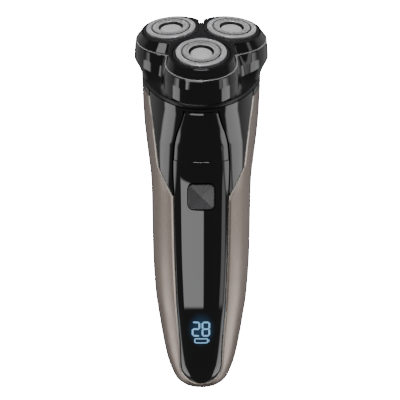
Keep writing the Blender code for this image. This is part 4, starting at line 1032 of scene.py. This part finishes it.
# radius round the head at a depth: pods that swell, then a straight taper into the neck
def chamberRadius(angle, depth):
    bulge = bulgeDepth(angle)
    share = np.clip((depth - head["holderBottom"]) / (head["mid"] - head["holderBottom"]), 0, 1)
    lower = np.clip((depth - head["mid"]) / (bulge - head["mid"]), 0, 1)
    radius = (head["edge"] + (head["wallMid"] - head["edge"]) * share
              + (head["wallMax"] - head["wallMid"]) * lower)
    pods = lobes(angle, head["pod"], radius)
    taper = np.clip((depth - bulge) / (head["bottom"] - bulge), 0, 1)
    return pods + (lobes(angle, handle["neckPod"], handle["neckLobe"]) - pods) * taper


# a skin from rows of (radius round the head, depth): a radius may be a number or an array
def lobedGrid(angle, rows):
    points = []
    for radius, depth in rows:
        radius = radius * np.ones_like(angle)
        points.append(np.stack([radius * np.sin(angle), -radius * np.cos(angle),
                                -depth * np.ones_like(angle)], axis=-1))
    return dict(points=np.stack(points), around=True)


def makeChamber():
    angle = np.arange(288) * 2 * pi / 288
    wall, roll, floor, ceiling = (chamber[k] for k in ("wall", "roll", "floor", "ceiling"))
    top = head["holderBottom"] + chamber["seam"]
    bulge = bulgeDepth(angle)
    rows = [(0, floor), (chamber["floorRing"], floor)]
    rows.append((chamberRadius(angle, floor) - wall, floor))
    rows.append((chamberRadius(angle, top) - wall, top + 0.1))
    rows.append((chamberRadius(angle, top) - wall + 0.1, top))
    for t in np.linspace(0, pi / 2, 5):
        rows.append((chamberRadius(angle, top) - roll * (1 - sin(t)), top + roll * (1 - cos(t))))
    for depth in np.linspace(top + 0.4, head["mid"], 14):
        rows.append((chamberRadius(angle, depth), depth))
    for share in np.concatenate([np.linspace(0, 0.96, 13)[1:], [0.985]]):
        depth = head["mid"] + (bulge - head["mid"]) * share
        rows.append((chamberRadius(angle, depth), depth))
    rows.append((chamberRadius(angle, bulge) - 0.06, bulge))
    for share in np.concatenate([[0.03], np.linspace(0.08, 0.97, 12)]):
        depth = bulge + (head["bottom"] - bulge) * share
        rows.append((chamberRadius(angle, depth), depth))
    rows.append((chamberRadius(angle, head["bottom"]) - 0.12, head["bottom"] - 0.02))
    rows.append((chamberRadius(angle, head["bottom"]) - wall, head["bottom"]))
    rows.append((chamberRadius(angle, bulge) - wall, bulge))
    rows.append((chamberRadius(angle, ceiling) - wall, ceiling))
    rows.append((0, ceiling))
    skin = lobedGrid(angle, rows)
    # the rolled edge at the seam gets a light grey painted highlight
    band = np.arange(len(rows) - 1)
    skin["finish"] = ((band > 3) & (band < 8)).astype(int)[:, None]
    piece = skinMesh("hairChamber", [skin], headPlace)
    return finishPiece(piece, [glossBlack, seamHighlight], "head", "black_gloss", "hair_chamber")


def makeNeckCap():
    angle = np.arange(288) * 2 * pi / 288
    outline = lobes(angle, handle["neckPod"], handle["neckLobe"])
    top = handle["neckSeam"]
    bottom = top + handle["capThickness"]
    hole, rim = neckCap["hole"], neckCap["rim"]
    edge, edgeIn, edgeDown = (neckCap[k] for k in ("edge", "edgeIn", "edgeDown"))
    spigot, spigotTop, spigotEdge = (neckCap[k] for k in ("spigot", "spigotTop", "spigotEdge"))
    rows = [(hole, bottom), (hole, top), (rim, top), (rim, spigotTop),
            (spigot - spigotEdge, spigotTop), (spigot, spigotTop + spigotEdge), (spigot, top),
            (outline - edge, top), (outline - edgeIn, top + edgeDown), (outline, top + edge),
            (outline, bottom - edge), (outline - edgeIn, bottom - edgeDown),
            (outline - edge, bottom), (hole, bottom)]
    piece = skinMesh("neckCap", [lobedGrid(angle, rows)], headPlace)
    return finishPiece(piece, [satinBlack], "handle", "black_satin", "neck_cap")


makeHolder()
makeChamber()
makeNeckCap()
print("head shells made")


# one floating head: all sizes in its own frame, heights from the plane of the guards
guard = dict(
    radius=10.8, window=5.3, windowDepth=1.5,
    ringRadius=12.1, ringTop=-0.65, ringBottom=-3.6, ringInside=11.1, ringFoot=9.9, ringFootTop=-3.0,
    slots=72, slotShare=0.50, thickness=0.28,
    outerTrack=(9.95, 8.80), innerTrack=(7.85, 6.15), groove=(8.72, 7.98), grooveDepth=0.75,
)


# radius and height across the guard from its skirt to the window's floor, with the two tracks'
# limits among the rows
def guardProfile():
    g = guard
    skirt = rounded([(g["radius"], -1.6), (g["radius"], 0.12), (10.25, 0.30)], 0.28, 5)
    outerTrack = np.array([(10.15, 0.30), (10.08, 0.16), (g["outerTrack"][0], 0.16), (9.4, 0.22),
                           (g["outerTrack"][1], 0.20), (8.72, 0.20), (g["groove"][0], 0.22)])
    groove = np.array([(g["groove"][0] - 0.04, -g["grooveDepth"]),
                       (g["groove"][1] + 0.04, -g["grooveDepth"]), (g["groove"][1], 0.24), (7.92, 0.26)])
    innerTrack = np.array([(g["innerTrack"][0], 0.24), (7.0, 0.27), (g["innerTrack"][1], 0.26),
                           (6.0, 0.32)])
    window = rounded([(5.85, 0.34), (5.45, 0.30), (g["window"], -0.3), (g["window"], -g["windowDepth"]),
                      (4.6, -g["windowDepth"])], 0.2, 4)
    floor = np.array([(3.0, -g["windowDepth"]), (0.0, -g["windowDepth"])])
    return np.concatenate([skirt, outerTrack, groove, innerTrack, window, floor])


# the guard's skin with its slots left open and painted shade, a near-black finish, on the walls of its
# groove and window
def guardGrid():
    g = guard
    profile = guardProfile()
    edges = np.array([-g["slotShare"] / 2, 0.0, g["slotShare"] / 2, 0.5])
    angle = ((np.arange(g["slots"])[:, None] + edges) * 2 * pi / g["slots"]).ravel()
    r, z = profile[:, :1], profile[:, 1:]
    points = np.stack([r * np.sin(angle), -r * np.cos(angle), z + 0 * angle], axis=-1)
    inSlot = np.tile(np.array([True, True, False, False]), g["slots"])
    narrow = np.tile(np.array([True, False, False, False]), g["slots"])
    radius = (profile[:-1, 0] + profile[1:, 0]) / 2
    outer = (radius < g["outerTrack"][0]) & (radius > g["outerTrack"][1])
    inner = (radius < g["innerTrack"][0]) & (radius > g["innerTrack"][1])
    keep = ~(inner[:, None] & inSlot | outer[:, None] & narrow)
    # painted shade: the low faces of the groove and the window's wall get the near-black steel
    low = (profile[:-1, 1] + profile[1:, 1]) / 2 < 0.1
    dark = low & (radius < g["groove"][0] + 0.1) & (radius > 4.5)
    return dict(points=points, around=True, keep=keep, finish=dark.astype(int)[:, None])


def makeGuard(i, place):
    piece = skinMesh(f"guard{i}", [guardGrid()], place, crease=25)
    sheet = piece.modifiers.new("sheet", "SOLIDIFY")
    sheet.thickness = guard["thickness"] * mm
    sheet.offset = -1.0
    finishPiece(piece, [guardSteel[i - 1], paintedShade], f"guard_unit_{i}", "guard_steel", f"guard_{i}")


# the domed cap in the guard's window
def makeGuardCap(i, place):
    profile = rounded([(0, -0.22), (2.4, -0.26), (4.35, -0.62), (4.7, -0.95), (4.7, -1.2), (0, -1.2)],
                      [0, 1.2, 0.5, 0.2, 0.05, 0], 7)
    piece = skinMesh(f"guardCap{i}", [turnedGrid(profile, 96)], place)
    finishPiece(piece, [capSteel[i - 1]], f"guard_unit_{i}", "cap_steel", f"guard_cap_{i}")


# the ring that the guard sits in: a wall with a short foot turned in under it
def makeFloatingRing(i, place):
    top, bottom, outside = guard["ringTop"], guard["ringBottom"], guard["ringRadius"]
    inside, foot, footTop = guard["ringInside"], guard["ringFoot"], guard["ringFootTop"]
    profile = rounded([(foot, bottom), (foot, footTop), (inside, footTop), (inside, top),
                       (outside, top), (outside, bottom), (foot, bottom)],
                      [0, 0.05, 0.05, 0.2, 0.42, 0.15, 0], 6)
    piece = skinMesh(f"floatingRing{i}", [turnedGrid(profile, 120)], place)
    finishPiece(piece, [satinBlack], f"floating_head_{i}", "black_satin", f"floating_ring_{i}")


for i, place in enumerate(podPlaces, 1):
    makeGuard(i, place)
    makeGuardCap(i, place)
    makeFloatingRing(i, place)
print("guards made")


# the pieces kept from the frame get their finishes
cadFinish = {
    brightSteel: ["motor_can", "motor_shaft", "motor_bracket", "motor_screw_1", "motor_screw_2",
                  "neck_screw_1", "neck_screw_2", "board_screw_1", "board_screw_2", "charge_socket",
                  "tact_switch", "drive_spindle_1", "drive_spindle_2", "drive_spindle_3"],
    shadedCutterSteel: ["cutter_1", "cutter_2", "cutter_3"],
    brassMetal: ["drive_coupling", "battery_tab_high", "battery_tab_low"],
    innerPlastic: ["inner_frame", "retaining_frame", "gear_cover"],
    gearPlastic: ["centre_gear", "satellite_gear_1", "satellite_gear_2", "satellite_gear_3"],
    rubberSeal: ["button_seal", "head_seal", "shaft_seal"],
    boardGreen: ["circuit_board"],
    cellWrap: ["battery_cell"],
    displayLight: ["display_module"],
}
for material, names in cadFinish.items():
    for name in names:
        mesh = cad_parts[name].data
        mesh.materials.clear()
        mesh.materials.append(material)
print("kept pieces finished")


# the studio: a white floor, soft lights and a dark surround with soft cards in it
studio = dict(
    floorSize=6.0, floorColour=(0.86, 0.86, 0.87), floorGlow=30.0,
    cameraAt=(-0.00055, -0.5191, 0.2388), lookAt=(-0.00055, 0.0, 0.0900), lens=105.66,
    # name, place in metres, width in metres, watts
    lamps=[
        ("overhead", (0.0, 0.25, 1.6), 1.6, 26.0),
        ("leftSoft", (-1.3, -0.5, 0.9), 1.0, 10.0),
        ("rightSoft", (1.3, -0.5, 0.9), 1.0, 10.0),
    ],
    lampsAimAt=(0, 0, 0.08),
    surround=0.11,
    # cards in the surround: middle azimuth (left of the front is positive), middle height, half
    # width, half height, edge softness, all in degrees, then brightness
    cards=[
        (24, -20.5, 29, 10.5, 1, 2.5),   # front left, low
        (90, -38, 13, 18, 3, 1.8),       # left, under the head
        (-88, -38, 15, 18, 3, 1.8),
        (120, -6, 28, 24, 14, 0.28),     # broad left
        (-120, -6, 28, 24, 14, 0.34),
        (-66, -18, 5, 12, 2, 1.0),       # narrow right
        (0, 62, 24, 6, 2, 14.0),         # overhead, to the front
        (180, 16, 60, 12, 8, 0.35),
    ],
)


def makeFloor():
    size = studio["floorSize"]
    u = np.linspace(-size / 2, size / 2, 3) / mm
    x, y = np.meshgrid(u, u, indexing="ij")
    floor = skinMesh("floor", [dict(points=np.stack([x, y, 0 * x], axis=-1)[::-1])], outwards=False)
    material, tree, shader, place = newMaterial("floor", studio["floorColour"])
    texture = useGroup(tree, grain, place, Scale=60.0, Depth=1.0)
    tint(tree, shader, texture.outputs["Height"], (0.84, 0.84, 0.85), studio["floorColour"])
    shader.inputs["Roughness"].default_value = 0.7
    shader.inputs["Emission Color"].default_value = (1, 1, 1, 1)
    shader.inputs["Emission Strength"].default_value = studio["floorGlow"]
    floor.data.materials.append(material)
    floor.visible_glossy = False
    floor.visible_diffuse = False


# the surround: a dark dome of light, brighter inside each card
def makeSurround():
    world = bpy.data.worlds.new("studio")
    world.use_nodes = True
    bpy.context.scene.world = world
    tree = world.node_tree
    coordinates = tree.nodes.new("ShaderNodeTexCoord")
    split = tree.nodes.new("ShaderNodeSeparateXYZ")
    tree.links.new(coordinates.outputs["Generated"], split.inputs[0])
    left = mathNode(tree, "MULTIPLY", split.outputs[0], -1.0)
    front = mathNode(tree, "MULTIPLY", split.outputs[1], -1.0)
    azimuth = mathNode(tree, "MULTIPLY", mathNode(tree, "ARCTAN2", left, front), 180 / pi)
    height = mathNode(tree, "MULTIPLY", mathNode(tree, "ARCSINE", split.outputs[2]), 180 / pi)
    total = None
    for middle, up, halfWide, halfTall, soft, bright in studio["cards"]:
        off = mathNode(tree, "SUBTRACT", azimuth, float(middle))
        wrapped = mathNode(tree, "WRAP", off, 180.0)
        wrapped.node.inputs[2].default_value = -180.0
        off = mathNode(tree, "ABSOLUTE", wrapped)
        across = mapRange(tree, off, halfWide + soft, max(halfWide - soft, 0.0))
        over = mathNode(tree, "ABSOLUTE", mathNode(tree, "SUBTRACT", height, float(up)))
        upright = mapRange(tree, over, halfTall + soft, max(halfTall - soft, 0.0))
        card = mathNode(tree, "MULTIPLY", mathNode(tree, "MULTIPLY", across, upright), float(bright))
        total = card if total is None else mathNode(tree, "MAXIMUM", total, card)
    level = mathNode(tree, "MAXIMUM", total, studio["surround"])
    background = tree.nodes["Background"]
    tree.links.new(level, background.inputs["Strength"])
    background.inputs["Color"].default_value = (1, 1, 1, 1)


def makeLamps():
    for name, at, width, power in studio["lamps"]:
        light = bpy.data.lights.new(name, "AREA")
        light.size = width
        light.energy = power
        lamp = bpy.data.objects.new(name, light)
        bpy.context.scene.collection.objects.link(lamp)
        lamp.location = at
        aim = Vector(studio["lampsAimAt"]) - Vector(at)
        lamp.rotation_euler = aim.to_track_quat("-Z", "Y").to_euler()
        lamp.visible_glossy = False


def makeCamera():
    view = bpy.data.cameras.new("camera")
    view.lens = studio["lens"]
    view.sensor_width = 36.0
    camera = bpy.data.objects.new("camera", view)
    bpy.context.scene.collection.objects.link(camera)
    camera.location = studio["cameraAt"]
    toward = Vector(studio["lookAt"]) - Vector(studio["cameraAt"])
    camera.rotation_euler = toward.to_track_quat("-Z", "Y").to_euler()
    bpy.context.scene.camera = camera


makeFloor()
makeSurround()
makeLamps()
makeCamera()
print("studio made")
